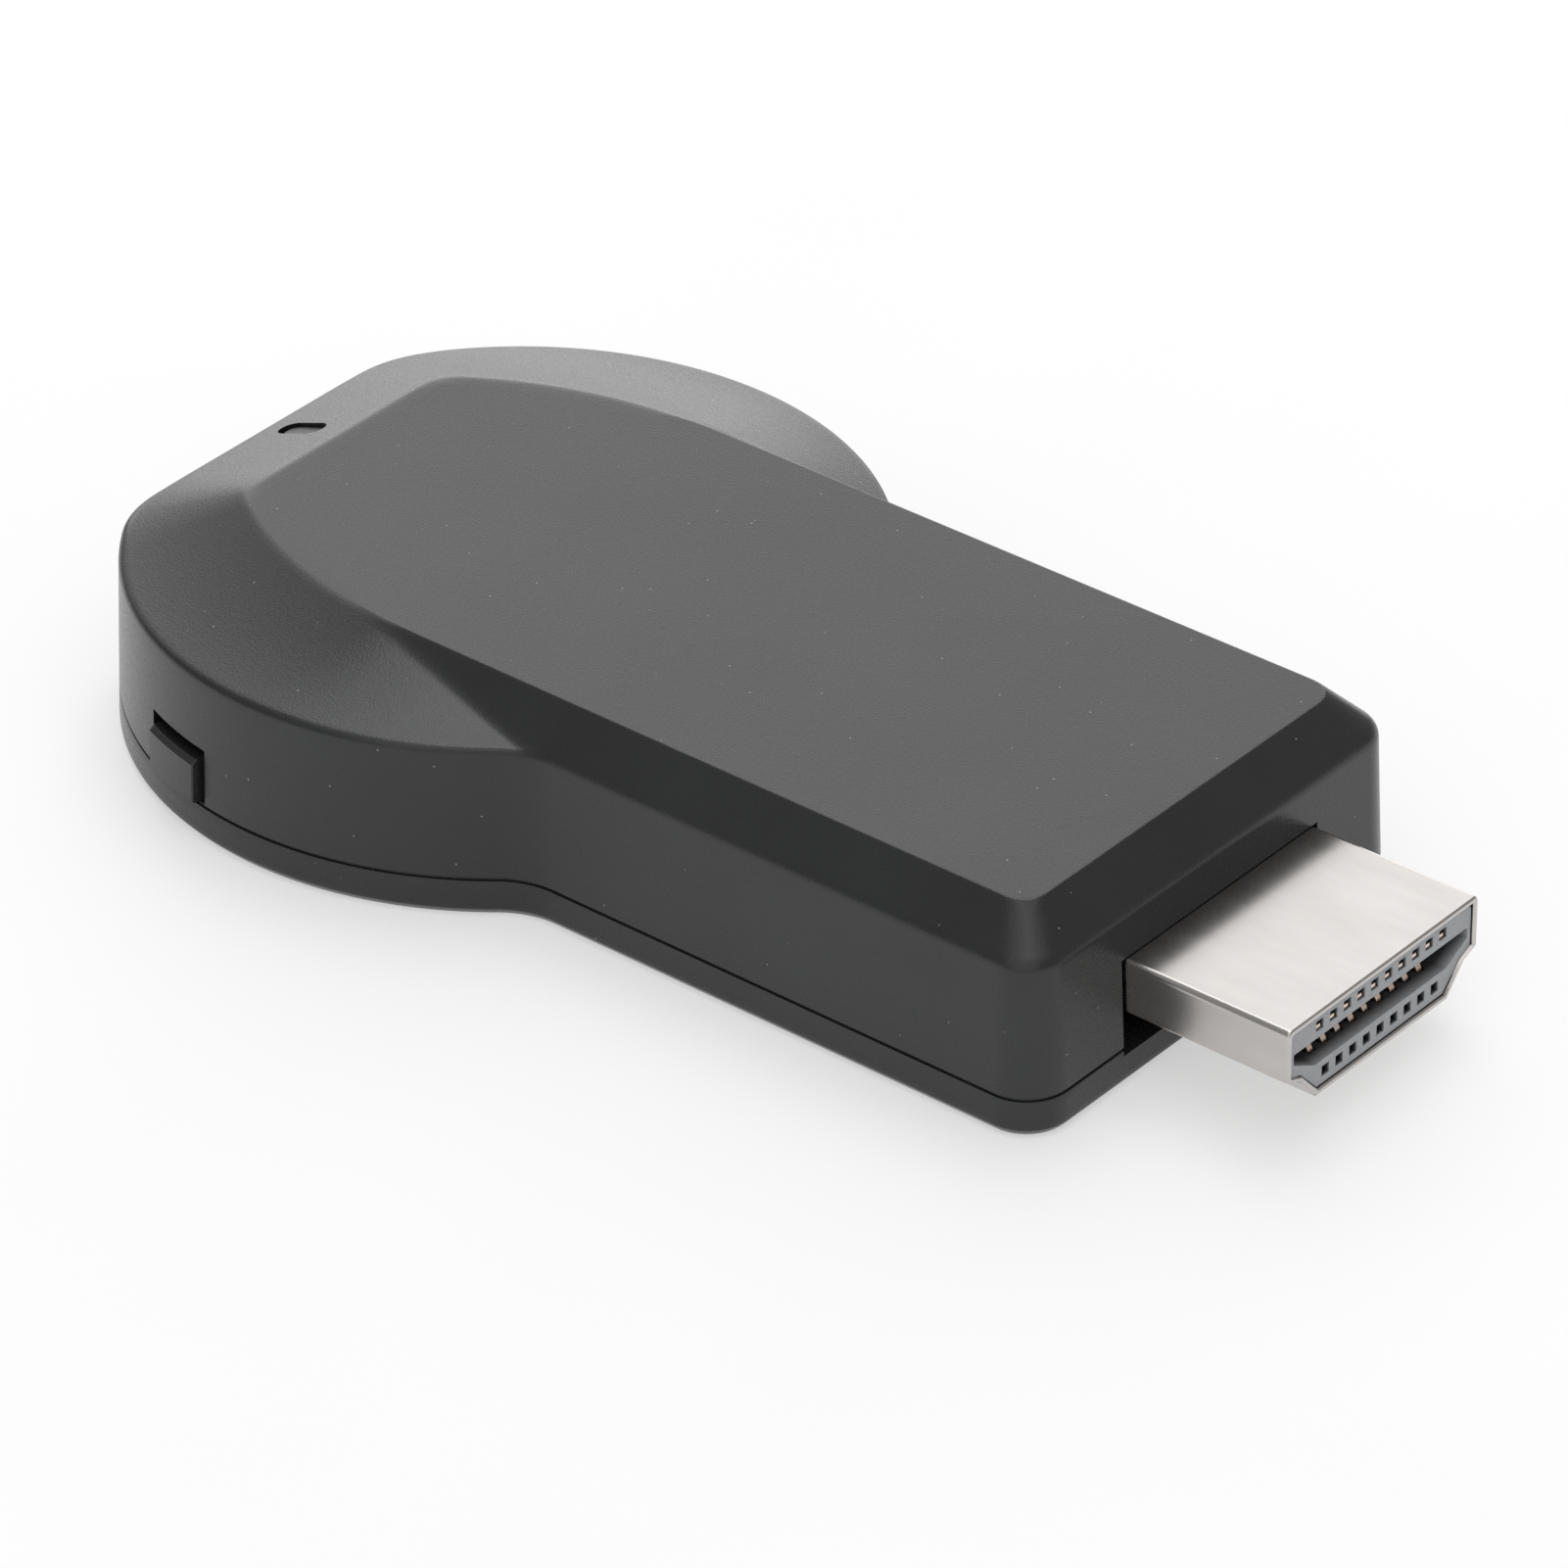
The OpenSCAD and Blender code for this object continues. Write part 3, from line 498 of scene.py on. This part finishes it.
# ABS moulded in a spark-eroded tool: the eye sees a soft sheen on dark grey, with a fine even tooth and a
# few pale specks of dust. The real tooth is finer, and is drawn 0.12 mm wide so that it shows.
tooth_mm = 0.12
tooth_depth_mm = 0.02
cloud_mm = 9.0
speck_cell_mm = 1.0
speck_radius = 0.045
bare_cells = 0.35
abs_plastic, tree, surface = new_material("spark_eroded_abs")
place = add(tree, "ShaderNodeTexCoord").outputs["Object"]
tooth = add(tree, "ShaderNodeTexNoise", {"Vector": place, "Scale": 1 / (tooth_mm * mm), "Detail": 3.0,
                                         "Roughness": 0.6})
cloud = add(tree, "ShaderNodeTexNoise", {"Vector": place, "Scale": 1 / (cloud_mm * mm), "Detail": 4.0})
base = add(tree, "ShaderNodeValToRGB", {"Fac": cloud.outputs["Fac"]},
           two_tones("#202022", "#252627", 0.35, 0.65))
cells = add(tree, "ShaderNodeTexVoronoi", {"Vector": place, "Scale": 1 / (speck_cell_mm * mm)})
lottery = add(tree, "ShaderNodeSeparateColor", {"Color": cells.outputs["Color"]})
chosen = add(tree, "ShaderNodeMath", {0: lottery.outputs["Red"], 1: bare_cells}, operation="GREATER_THAN")
near = add(tree, "ShaderNodeMath", {0: cells.outputs["Distance"], 1: speck_radius}, operation="LESS_THAN")
speck = add(tree, "ShaderNodeMath", {0: chosen.outputs[0], 1: near.outputs[0]}, operation="MULTIPLY")
dusted = add(tree, "ShaderNodeMix", {"Factor": speck.outputs[0], "A": base.outputs["Color"],
                                     "B": linear("#8a8a88")}, data_type="RGBA")
rough = add(tree, "ShaderNodeMapRange", {"Value": tooth.outputs["Fac"], "From Min": 0.3, "From Max": 0.7,
                                         "To Min": 0.22, "To Max": 0.32})
relief = add(tree, "ShaderNodeBump", {"Height": tooth.outputs["Fac"], "Strength": 0.6,
                                      "Distance": tooth_depth_mm * mm})
fill(tree, surface, {"Base Color": dusted.outputs["Result"], "Roughness": rough.outputs["Result"],
                     "Normal": relief.outputs["Normal"], "IOR": 1.5})
paint(upper_shell, abs_plastic)
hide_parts("top_shell")
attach(upper_shell, "case")

# Lower shell
# The shallow lower half is moulded in the same ABS. A fine groove marks the joint, a lip stands inside the
# upper shell's wall, and the board sits on four posts whose pins enter the upper shell's bosses.
foot_chamfer = 0.4
groove_depth, groove_foot = 0.12, 1.88
floor_thickness = 1.2
lip_inset, lip_thickness, lip_top = 1.58, 0.7, 2.7

# Inset and height of each row: the underside's edge, the wall, the groove, the lip and the floor inside
lower_profile = [
    (foot_chamfer + 0.05, 0.0), (foot_chamfer - 0.02, 0.0), (foot_chamfer - 0.08, 0.04),
    (0.09, 0.32), (0.045, 0.38), (0.022, 0.44), (0.03, 0.7), (0.055, 1.3),
    (wall_lean * 1.82, 1.82), (wall_lean * 1.86 + 0.015, 1.865),
    (wall_lean * groove_foot + 0.05, groove_foot), (wall_lean * groove_foot + groove_depth, groove_foot),
    (wall_lean * seam_height + groove_depth, seam_height),
    (lip_inset + wall_lean * seam_height, seam_height), (lip_inset + wall_lean * lip_top, lip_top),
    (lip_inset + lip_thickness + wall_lean * lip_top, lip_top),
    (lip_inset + lip_thickness + wall_lean * floor_thickness, floor_thickness)]

# The lip makes way for the key's flange, and the front wall's edge for the plug
flange_slot_half, flange_slot_top, flange_slot_span = flange_half + key_gap, 5, (flange_back - 0.33, 16.95)
plug_slot_foot, plug_slot_top, plug_slot_span = 1.6, 6, (22.2, 30)
flange_slot = prism("flange_slot", box_outline(-flange_slot_half, seam_height, flange_slot_half,
                                               flange_slot_top), on_key, flange_slot_span)
plug_slot = prism("plug_slot", box_outline(-plug_hole_half, plug_slot_foot, plug_hole_half, plug_slot_top),
                  along_plug, plug_slot_span)
lower = loft("lower", [at_height(case_outline(inset), z) for inset, z in lower_profile])
lower = cut(lower, [flange_slot, plug_slot])

# Posts with pins, and the saddle that the plug lies on
post_root, post_top = 1.0, 3.1
pin_radius, pin_tip_radius, pin_edge, pin_top = 0.7, 0.6, 4.8, 4.9
post_profile = [(hair, post_root), (post_radius, post_root), (post_radius, post_top),
                (pin_radius, post_top), (pin_radius, pin_edge), (pin_tip_radius, pin_top), (hair, pin_top)]
posts = [lathe("post", post_profile, spot) for spot in post_places]
saddle_half, saddle_root, saddle_top, saddle_span = 3.6, 0.9, 2.05, (20.05, 22.65)
saddle = prism("saddle", box_outline(-saddle_half, saddle_root, saddle_half, saddle_top), along_plug,
               saddle_span)
lower_mesh = join_meshes("lower_case_shell", [lower, saddle] + posts)
lower_shell = make_piece("lower_case_shell", lower_mesh, sharp_angle=34)
paint(lower_shell, abs_plastic)
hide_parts("bottom_shell")
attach(lower_shell, "case")

# Mode key
# A small moulded ABS key in a notch of the near wall. Its face follows the round of the head, its top edge
# is chamfered, and a flange inside keeps it from falling out.
key_foot = 2.12
key_proud = 0.42
key_chamfer = 0.2
key_edge = 0.06
key_middle = 16.5
key_face_steps = 24
key_flange_top, key_flange_span = notch_top + 0.7, (flange_back, flange_back + 0.6)
key_levels = [(key_foot, key_edge), (key_foot + key_edge, 0), (2.8, 0), (3.5, 0),
              (key_top - key_chamfer - 0.02, 0), (key_top - 0.03, key_chamfer - 0.01),
              (key_top, key_chamfer + 0.04), (key_top, key_chamfer + 0.15)]


def key_section(z, back):
    """Section of the key at a height, with its face set back and its upright edges rounded."""
    radius = head_radius + key_proud - wall_lean * z - back
    side_front = math.sqrt(radius ** 2 - key_half ** 2) - key_edge
    half = key_half - key_edge
    shape = [(flange_back, -key_half), (flange_back, key_half)]
    shape += [(key_middle, key_half), (side_front, key_half)]
    for k in range(key_face_steps + 1):
        u = half * (1 - k / (key_face_steps / 2))
        shape.append((math.sqrt(radius ** 2 - u * u), u))
    shape += [(side_front, -key_half), (key_middle, -key_half)]
    return [on_key(u, z, distance) for distance, u in shape]


key_body = loft("key", [key_section(z, back) for z, back in key_levels])
key_flange = prism("flange", box_outline(-flange_half, key_foot, flange_half, key_flange_top), on_key,
                   key_flange_span)
key_mesh = join_meshes("pressed_mode_key", [key_body, key_flange])
key_piece = make_piece("pressed_mode_key", key_mesh, sharp_angle=30)
paint(key_piece, abs_plastic)
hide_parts("mode_key")
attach(key_piece, "key")

# Lamp window
# A smoke-tinted oval of ABS pressed into the end slope above the lamp. It reads as the case's own colour,
# with the fine gap round it.


def mottle(tree, surface, dark, light, size_mm, detail):
    """A base colour of two near tones, in a mottle of a size in millimetres."""
    place = add(tree, "ShaderNodeTexCoord").outputs["Object"]
    grain = add(tree, "ShaderNodeTexNoise", {"Vector": place, "Scale": 1 / (size_mm * mm),
                                             "Detail": detail})
    tones = add(tree, "ShaderNodeValToRGB", {"Fac": grain.outputs["Fac"]}, two_tones(dark, light))
    fill(tree, surface, {"Base Color": tones.outputs["Color"]})


# Smoked ABS: the eye sees the case's dark grey, a shade lighter and duller, with a faint mottle
smoked, tree, surface = new_material("smoked_window_abs")
mottle(tree, surface, "#2c2c2e", "#343436", size_mm=0.3, detail=2.0)
fill(tree, surface, {"Roughness": 0.42})
paint(nodes["lamp_window"], smoked)

# Video plug: shell
# The plug's shell is a sleeve of thin nickel-plated steel with stepped lower corners. Its front edge is
# rolled smooth, and solder tabs at the back hold it to the board.
plug_height, plug_sheet = 4.45, 0.3
plug_back, plug_tip = 19.4, 33.3
plug_corner, plug_side_foot = 0.3, -2.7
plug_step_in, plug_step_foot, plug_foot_half = 0.95, -3.0, 4.8
fold_steps = 7


def plug_outline(inset):
    """Outline of the plug's sleeve across its length, drawn in by inset."""
    side_half, corner = plug_half - inset, plug_corner - inset / 2
    side = plug_side_foot + inset / 2
    right = arc(side_half - corner, -inset - corner, corner, 90, 0, fold_steps)
    right += [(side_half, -inset - corner)]
    right += arc(side_half - corner / 2, side + corner / 2, corner / 2, 0, -60, 5)
    # The lower fold ends at 60 degrees: half its radius out and 0.866 of it down
    right += [(side_half - corner / 2 + corner / 4, side + corner / 2 - corner * 0.433)]
    step = (plug_half - plug_step_in - inset / 2, plug_step_foot + inset / 2)
    foot = (plug_foot_half - inset / 2, inset - plug_height)
    right += line(step, foot, 3) + [foot]
    return [(u, plug_top + v) for u, v in right] + [(-u, plug_top + v) for u, v in reversed(right)]


# Inset and place along the case of each ring: the outside, the rolled front edge and the inside
roll = 0.13
sleeve_rows = [(0, plug_back), (0, 21.0), (0, 24.0), (0, 28.0), (0, 32.0), (0, plug_tip - 0.28)]
sleeve_rows += [(roll * (1 - math.cos(a)), plug_tip - roll + roll * math.sin(a))
                for a in [math.radians(15 * k) for k in range(7)]]
sleeve_rows += [(plug_sheet - 0.06, plug_tip - 0.01), (plug_sheet, plug_tip - 0.08),
                (plug_sheet, plug_tip - 0.6), (plug_sheet, plug_back)]
sleeve_loops = [[(x, u, v) for u, v in plug_outline(inset)] for inset, x in sleeve_rows]
sleeve = loft("sleeve", sleeve_loops + [sleeve_loops[0]], (False, False))
tab_inner, tab_top, tab_span = 6.65, 5.45, (17.6, 20.9)
tabs = [prism("tab", box_outline(sign * tab_inner, board_top, sign * plug_half, tab_top), along_plug,
              tab_span) for sign in (-1, 1)]
plug_sleeve = make_piece("plug_sleeve", join_meshes("plug_sleeve", [sleeve] + tabs), sharp_angle=36)

# Nickel plate over drawn steel: the eye sees bright, slightly milky metal with faint streaks along the
# drawing, about three times as long as they are wide
haze_mm = 1.6
nickel, tree, surface = new_material("nickel_plated_steel")
place = add(tree, "ShaderNodeTexCoord").outputs["Object"]
along = add(tree, "ShaderNodeMapping", {"Vector": place, "Scale": (0.3, 1.0, 1.0)})
haze = add(tree, "ShaderNodeTexNoise", {"Vector": along.outputs["Vector"], "Scale": 1 / (haze_mm * mm),
                                        "Detail": 5.0})
tones = add(tree, "ShaderNodeValToRGB", {"Fac": haze.outputs["Fac"]}, two_tones("#bdb9b6", "#c5c1be"))
shine = add(tree, "ShaderNodeMapRange", {"Value": haze.outputs["Fac"], "From Min": 0.3, "From Max": 0.7,
                                         "To Min": 0.21, "To Max": 0.24})
fill(tree, surface, {"Base Color": tones.outputs["Color"], "Roughness": shine.outputs["Result"],
                     "Metallic": 1.0})
paint(plug_sleeve, nickel)
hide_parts("plug_shell")
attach(plug_sleeve, "case")

# Video plug: insulator
# The contact carrier is moulded in glass-filled nylon and fills the sleeve. Two rows of square holes show
# at its face, above and below the keyed slot.
fibre_mm = 0.2
carrier_face, carrier_full_shade = 33.15, 31.2
slot_middle, slot_half, hole_shade_rate = 4.33, 1.0, 5.0

# Glass-filled nylon: the eye sees dull light grey, finely mottled by the fibres. Down in the slot, and at
# once in the narrow holes, the colour darkens with depth behind the face: painted shade, where little
# light gets in.
carrier, tree, surface = new_material("glass_filled_nylon")
place = add(tree, "ShaderNodeTexCoord").outputs["Object"]
fibre = add(tree, "ShaderNodeTexNoise", {"Vector": place, "Scale": 1 / (fibre_mm * mm), "Detail": 3.0})
grey = add(tree, "ShaderNodeValToRGB", {"Fac": fibre.outputs["Fac"]}, two_tones("#989a9d", "#a4a6a9"))
parts = add(tree, "ShaderNodeSeparateXYZ", {"Vector": place})
# Painted shade: the grey darkens with depth behind the face, six times as fast in the holes above and
# below the slot
depth = add(tree, "ShaderNodeMapRange", {"Value": parts.outputs["X"], "From Min": carrier_face * mm,
                                         "From Max": carrier_full_shade * mm})
above = add(tree, "ShaderNodeMath", {0: parts.outputs["Z"], 1: slot_middle * mm}, operation="SUBTRACT")
apart = add(tree, "ShaderNodeMath", {0: above.outputs[0]}, operation="ABSOLUTE")
in_hole = add(tree, "ShaderNodeMath", {0: apart.outputs[0], 1: slot_half * mm}, operation="GREATER_THAN")
rate = add(tree, "ShaderNodeMath", {0: in_hole.outputs[0], 1: hole_shade_rate, 2: 1.0}, operation="MULTIPLY_ADD")
dark = add(tree, "ShaderNodeMath", {0: depth.outputs["Result"], 1: rate.outputs[0]}, operation="MULTIPLY")
shade = add(tree, "ShaderNodeValToRGB", {"Fac": dark.outputs[0]},
            [(0.03, (1, 1, 1, 1)), (0.35, (0.16, 0.16, 0.16, 1)), (0.9, (0.01, 0.01, 0.01, 1))])
painted_shade_grey = add(tree, "ShaderNodeMix", {"Factor": 1.0, "A": grey.outputs["Color"], "B": shade.outputs["Color"]},
           data_type="RGBA", blend_type="MULTIPLY")
fill(tree, surface, {"Base Color": painted_shade_grey.outputs["Result"], "Roughness": 0.5})
paint(nodes["plug_insulator"], carrier)

# Video plug: contacts
# Nineteen sprung contacts are stamped from phosphor bronze strip and thinly gilt, ten above the slot and
# nine below it. The upper ones end in tongues that show in their square holes.
contact_pitch, contact_half, contact_sheet, contact_edge = 1.0, 0.17, 0.2, 0.08
board_thickness = 1.0
upper_row, lower_row = 5.63, 3.03
upper_tail = board_top + contact_sheet / 2
lower_tail = board_top - board_thickness - contact_sheet / 2

# The strip's middle line, in places along the case and heights, from its tip to its tail on the board
upper_path = [(33.06, 5.5), (32.55, 5.5), (32.2, 5.15), (31.8, 4.75), (31.2, 4.6), (30.5, 4.8),
              (28.25, upper_row), (19.1, upper_row), (17.47, upper_tail), (15.97, upper_tail)]
lower_path = [(32.3, 3.3), (32.2, 3.8), (31.8, 4.08), (31.2, 4.02), (30.5, 3.8),
              (28.25, lower_row), (20.4, lower_row), (20.17, lower_tail), (17.6, lower_tail)]


def eased(path):
    """The path with its corners cut off twice over, so that it bends as strip does."""
    for _ in range(2):
        cut_path = [path[0]]
        for start, end in zip(path, path[1:]):
            cut_path += [between(start, end, share) for share in (0.25, 0.75)]
        path = cut_path + [path[-1]]
    return path


def contact_strip(path, y):
    """One contact at a place across the plug, as a strip along its eased path."""
    path = eased(path)
    loops = []
    for k, (x, z) in enumerate(path):
        (x0, z0), (x1, z1) = path[max(k - 1, 0)], path[min(k + 1, len(path) - 1)]
        length = math.hypot(x1 - x0, z1 - z0) * 2 / contact_sheet
        out_x, out_z = (z1 - z0) / length, -(x1 - x0) / length
        loops.append([(x + out_x, y - contact_half, z + out_z), (x + out_x, y + contact_half, z + out_z),
                      (x - out_x, y + contact_half, z - out_z), (x - out_x, y - contact_half, z - out_z)])
    return loft("contact", loops)


# Thin gilding on phosphor bronze: the eye sees pale warm glints, mottled where the bronze shows through
gilt, tree, surface = new_material("gilt_phosphor_bronze")
mottle(tree, surface, "#ecd0bb", "#f6e6d8", size_mm=0.5, detail=3.0)
fill(tree, surface, {"Metallic": 1.0, "Roughness": 0.35})
paint(nodes["power_socket_contacts"], gilt)
for row, count, path in (("upper", 10, upper_path), ("lower", 9, lower_path)):
    strips = [contact_strip(path, (k - (count - 1) / 2) * contact_pitch) for k in range(count)]
    contact_mesh = join_meshes(row + "_contact_row", strips)
    contacts = make_piece(row + "_contact_row", contact_mesh, sharp_angle=50)
    rounding = contacts.modifiers.new("stamped_edge", "BEVEL")
    rounding.width, rounding.segments, rounding.limit_method = contact_edge * mm, 3, "ANGLE"
    contacts.modifiers.move(1, 0)
    paint(contacts, gilt)
    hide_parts("plug_" + row + "_contacts")
    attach(contacts, "case")

# Power socket
# A folded sleeve of nickel-plated steel on the board's far edge, with a black nylon tongue that carries
# five contacts.
paint(nodes["power_socket_shell"], nickel)

# Moulded black nylon: the eye sees a dull, nearly even black with a very fine mottle
black_nylon, tree, surface = new_material("black_moulded_nylon")
mottle(tree, surface, "#161617", "#1f1f20", size_mm=0.15, detail=3.0)
fill(tree, surface, {"Roughness": 0.55})
for name in ("power_socket_tongue", "switch_body", "switch_plunger"):
    paint(nodes[name], black_nylon)

# Key switch and other bright sheet parts
# The switch's cover and snap spring, the radio's shield and the crystals' cans are thin stainless sheet,
# bright and lightly rolled in one direction.


def along_grain(tree, long_mm, fine_per_mm):
    """A noise of long fine lines along the case, with their length and their number to the millimetre."""
    place = add(tree, "ShaderNodeTexCoord").outputs["Object"]
    fine = fine_per_mm / mm
    drawn = add(tree, "ShaderNodeMapping", {"Vector": place, "Scale": (1 / (long_mm * mm), fine, fine)})
    lines = add(tree, "ShaderNodeTexNoise", {"Vector": drawn.outputs["Vector"], "Scale": 1.0,
                                             "Detail": 2.0})
    return lines.outputs["Fac"]


# Rolled stainless sheet: the eye sees bright metal, brushed by fine lines 5 mm long. The real lines are
# closer than nine to the millimetre, and are drawn so coarse that they show.
stainless, tree, surface = new_material("rolled_stainless_sheet")
rolled = along_grain(tree, long_mm=5.0, fine_per_mm=9)
tones = add(tree, "ShaderNodeValToRGB", {"Fac": rolled}, two_tones("#b4b6b8", "#cccdce"))
gleam = add(tree, "ShaderNodeMapRange", {"Value": rolled, "To Min": 0.22, "To Max": 0.38})
fill(tree, surface, {"Base Color": tones.outputs["Color"], "Roughness": gleam.outputs["Result"],
                     "Metallic": 1.0})
for name in ("switch_cover", "switch_dome", "radio_shield", "crystals"):
    paint(nodes[name], stainless)

# Circuit boards
# Both boards are glass-epoxy laminate, etched, plated and coated with solder mask. The main board's mask
# is green, and the small board of the radio module has a blue one.

# Solder mask over woven glass: the eye sees glossy colour in two tones, in bands a glass thread apart. The
# wave repeats every 0.314 of its scale, so 2 mm gives the threads' 0.6 mm.
wave_mm = 2.0
for name, dark, light in (("main_board", "#164a2e", "#1f6a42"), ("radio_board", "#173d55", "#245a78")):
    laminate, tree, surface = new_material("solder_masked_laminate_" + name)
    place = add(tree, "ShaderNodeTexCoord").outputs["Object"]
    weave = add(tree, "ShaderNodeTexWave", {"Vector": place, "Scale": 1 / (wave_mm * mm),
                                            "Distortion": 2.0})
    tones = add(tree, "ShaderNodeValToRGB", {"Fac": weave.outputs["Fac"]},
                two_tones(dark, light, 0.2, 0.8))
    fill(tree, surface, {"Base Color": tones.outputs["Color"], "Roughness": 0.35})
    paint(nodes[name], laminate)

# Processor, pad and heatsink
# The processor's black epoxy package, a soft silicone pad on it and a finned heatsink of bare extruded
# aluminium. The other chips and the resistors are of the same epoxy.

# Moulded epoxy: the eye sees a flat black with the fine pale grain of its silica filler
epoxy, tree, surface = new_material("moulded_epoxy_package")
mottle(tree, surface, "#1b1b1c", "#28282a", size_mm=0.08, detail=2.0)
fill(tree, surface, {"Roughness": 0.6})
for name in ("processor", "memory_chips", "flash_chip", "radio_chip", "regulators", "resistors",
             "protection_arrays"):
    paint(nodes[name], epoxy)

# Filled silicone: the eye sees a dull grey-blue putty with a little dust on it
silicone, tree, surface = new_material("filled_silicone_pad")
mottle(tree, surface, "#8497a8", "#9bacbb", size_mm=0.25, detail=4.0)
fill(tree, surface, {"Roughness": 0.8})
paint(nodes["thermal_pad"], silicone)

# Extruded aluminium: the eye sees satin metal with lines from the die, nearly 7 mm long. They are drawn
# six to the millimetre, coarser than real ones, so that they show.
extruded, tree, surface = new_material("extruded_aluminium")
streak = along_grain(tree, long_mm=20 / 3, fine_per_mm=6)
tones = add(tree, "ShaderNodeValToRGB", {"Fac": streak}, two_tones("#b2b5b8", "#c9cbcd"))
fill(tree, surface, {"Base Color": tones.outputs["Color"], "Metallic": 1.0, "Roughness": 0.4})
paint(nodes["heatsink"], extruded)

# Passive parts and lamp
# Fired ceramic for the antenna and the small capacitors, pressed ferrite for the inductors, yellow epoxy
# for the bulk capacitors and clear resin for the lamp.

# The eye sees one plain colour in each, with a fine speckle. The resin is glossy and the ferrite dull.
for name, common, dark, light, roughness in (
        ("antenna", "white_fired_ceramic", "#d8d2c4", "#ebe6da", 0.4),
        ("small_capacitors", "tan_fired_ceramic", "#a5875f", "#bb9f78", 0.35),
        ("power_inductors", "pressed_ferrite", "#333334", "#444445", 0.65),
        ("bulk_capacitors", "yellow_moulded_epoxy", "#b98f1c", "#d1a732", 0.5),
        ("status_lamp", "lamp_resin", "#e8e2c8", "#f4f0dc", 0.2)):
    body, tree, surface = new_material(common)
    mottle(tree, surface, dark, light, size_mm=0.12, detail=3.0)
    fill(tree, surface, {"Roughness": roughness})
    paint(nodes[name], body)

# Table, light and camera
# A plain white table, an even white surround, soft lamps that stand mostly above and behind on the left,
# and the photograph's own viewpoint.
table_half, table_foot, table_top = 1500.0, -2.0, -0.02
table_outline = box_outline(-table_half, -table_half, table_half, table_half)
table_mesh = loft("table", [at_height(table_outline, z) for z in (table_foot, table_top)])
table = make_piece("white_table", table_mesh)

# White laminate: the eye sees a plain white ground. Half of what the camera and the reflections see of it
# is a white glow, as from the lit sweep of a studio, and the other half keeps the object's shadow.
glow_share = 0.5
white, tree, surface = new_material("white_table_laminate")
mottle(tree, surface, "#fafafa", "#fdfdfd", size_mm=100 / 3, detail=2.0)
fill(tree, surface, {"Roughness": 0.7})
rays = add(tree, "ShaderNodeLightPath").outputs
seen = add(tree, "ShaderNodeMath", {0: rays["Is Camera Ray"], 1: rays["Is Glossy Ray"]},
           operation="MAXIMUM")
seen = add(tree, "ShaderNodeMath", {0: seen.outputs[0], 1: rays["Is Transmission Ray"]},
           operation="MAXIMUM")
share = add(tree, "ShaderNodeMath", {0: seen.outputs[0], 1: glow_share}, operation="MULTIPLY")
plain = add(tree, "ShaderNodeEmission", {"Color": (1, 1, 1, 1), "Strength": 1.0})
blend = add(tree, "ShaderNodeMixShader", {0: share.outputs[0], 1: surface.outputs[0], 2: plain.outputs[0]})
fill(tree, tree.nodes["Material Output"], {"Surface": blend.outputs[0]})
paint(table, white)

world = bpy.data.worlds.new("surround")
bpy.context.scene.world = world
world.use_nodes = True
fill(world.node_tree, world.node_tree.nodes["Background"], {"Color": (1, 1, 1, 1), "Strength": 0.36})


def soft_lamp(name, direction, distance, width, height, power):
    """An area lamp that faces the object, in metres and watts."""
    data = bpy.data.lights.new(name, "AREA")
    data.shape, data.size, data.size_y, data.energy = "RECTANGLE", width, height, power
    lamp = bpy.data.objects.new(name, data)
    bpy.context.scene.collection.objects.link(lamp)
    back = Vector(direction).normalized()
    lamp.location = back * distance
    lamp.rotation_mode = "QUATERNION"
    lamp.rotation_quaternion = (-back).to_track_quat("-Z", "Y")


soft_lamp("back_left_lamp", (-0.58, 0.74, 0.34), distance=0.9, width=0.7, height=1.0, power=2.45)
soft_lamp("low_back_left_lamp", (-0.62, 0.75, 0.12), distance=0.85, width=0.45, height=0.34, power=0.45)
soft_lamp("overhead_lamp", (-0.21, 0.30, 0.93), distance=0.9, width=0.55, height=0.55, power=2.15)
soft_lamp("left_fill_lamp", (-0.80, 0.28, 0.53), distance=0.9, width=0.6, height=0.6, power=0.6)
soft_lamp("zenith_lamp", (0.15, -0.05, 0.99), distance=0.9, width=0.95, height=0.95, power=2.0)
soft_lamp("front_right_lamp", (0.42, -0.66, 0.62), distance=0.9, width=1.2, height=1.2, power=2.4)

# The camera was fitted to the photograph's straight edges. Its three axes are unit vectors, and its spot
# is in metres.
focal_pixels, picture_pixels = 9077.85, 1601
camera_data = bpy.data.cameras.new("photo_camera")
camera_data.sensor_width = 36.0
camera_data.lens = 36.0 * focal_pixels / picture_pixels
camera_data.clip_start, camera_data.clip_end = 0.01, 10.0
camera = bpy.data.objects.new("photo_camera", camera_data)
bpy.context.scene.collection.objects.link(camera)
right = Vector((0.770394, 0.637521, -0.007783))
down = Vector((0.341863, -0.423358, -0.838986))
ahead = Vector((-0.538166, 0.643689, -0.544097))
spot = Vector((0.21836, -0.26195, 0.22339))
camera.matrix_world = Matrix((
    (right.x, -down.x, -ahead.x, spot.x),
    (right.y, -down.y, -ahead.y, spot.y),
    (right.z, -down.z, -ahead.z, spot.z),
    (0, 0, 0, 1)))
bpy.context.scene.camera = camera
bpy.context.scene.view_settings.view_transform = "Standard"
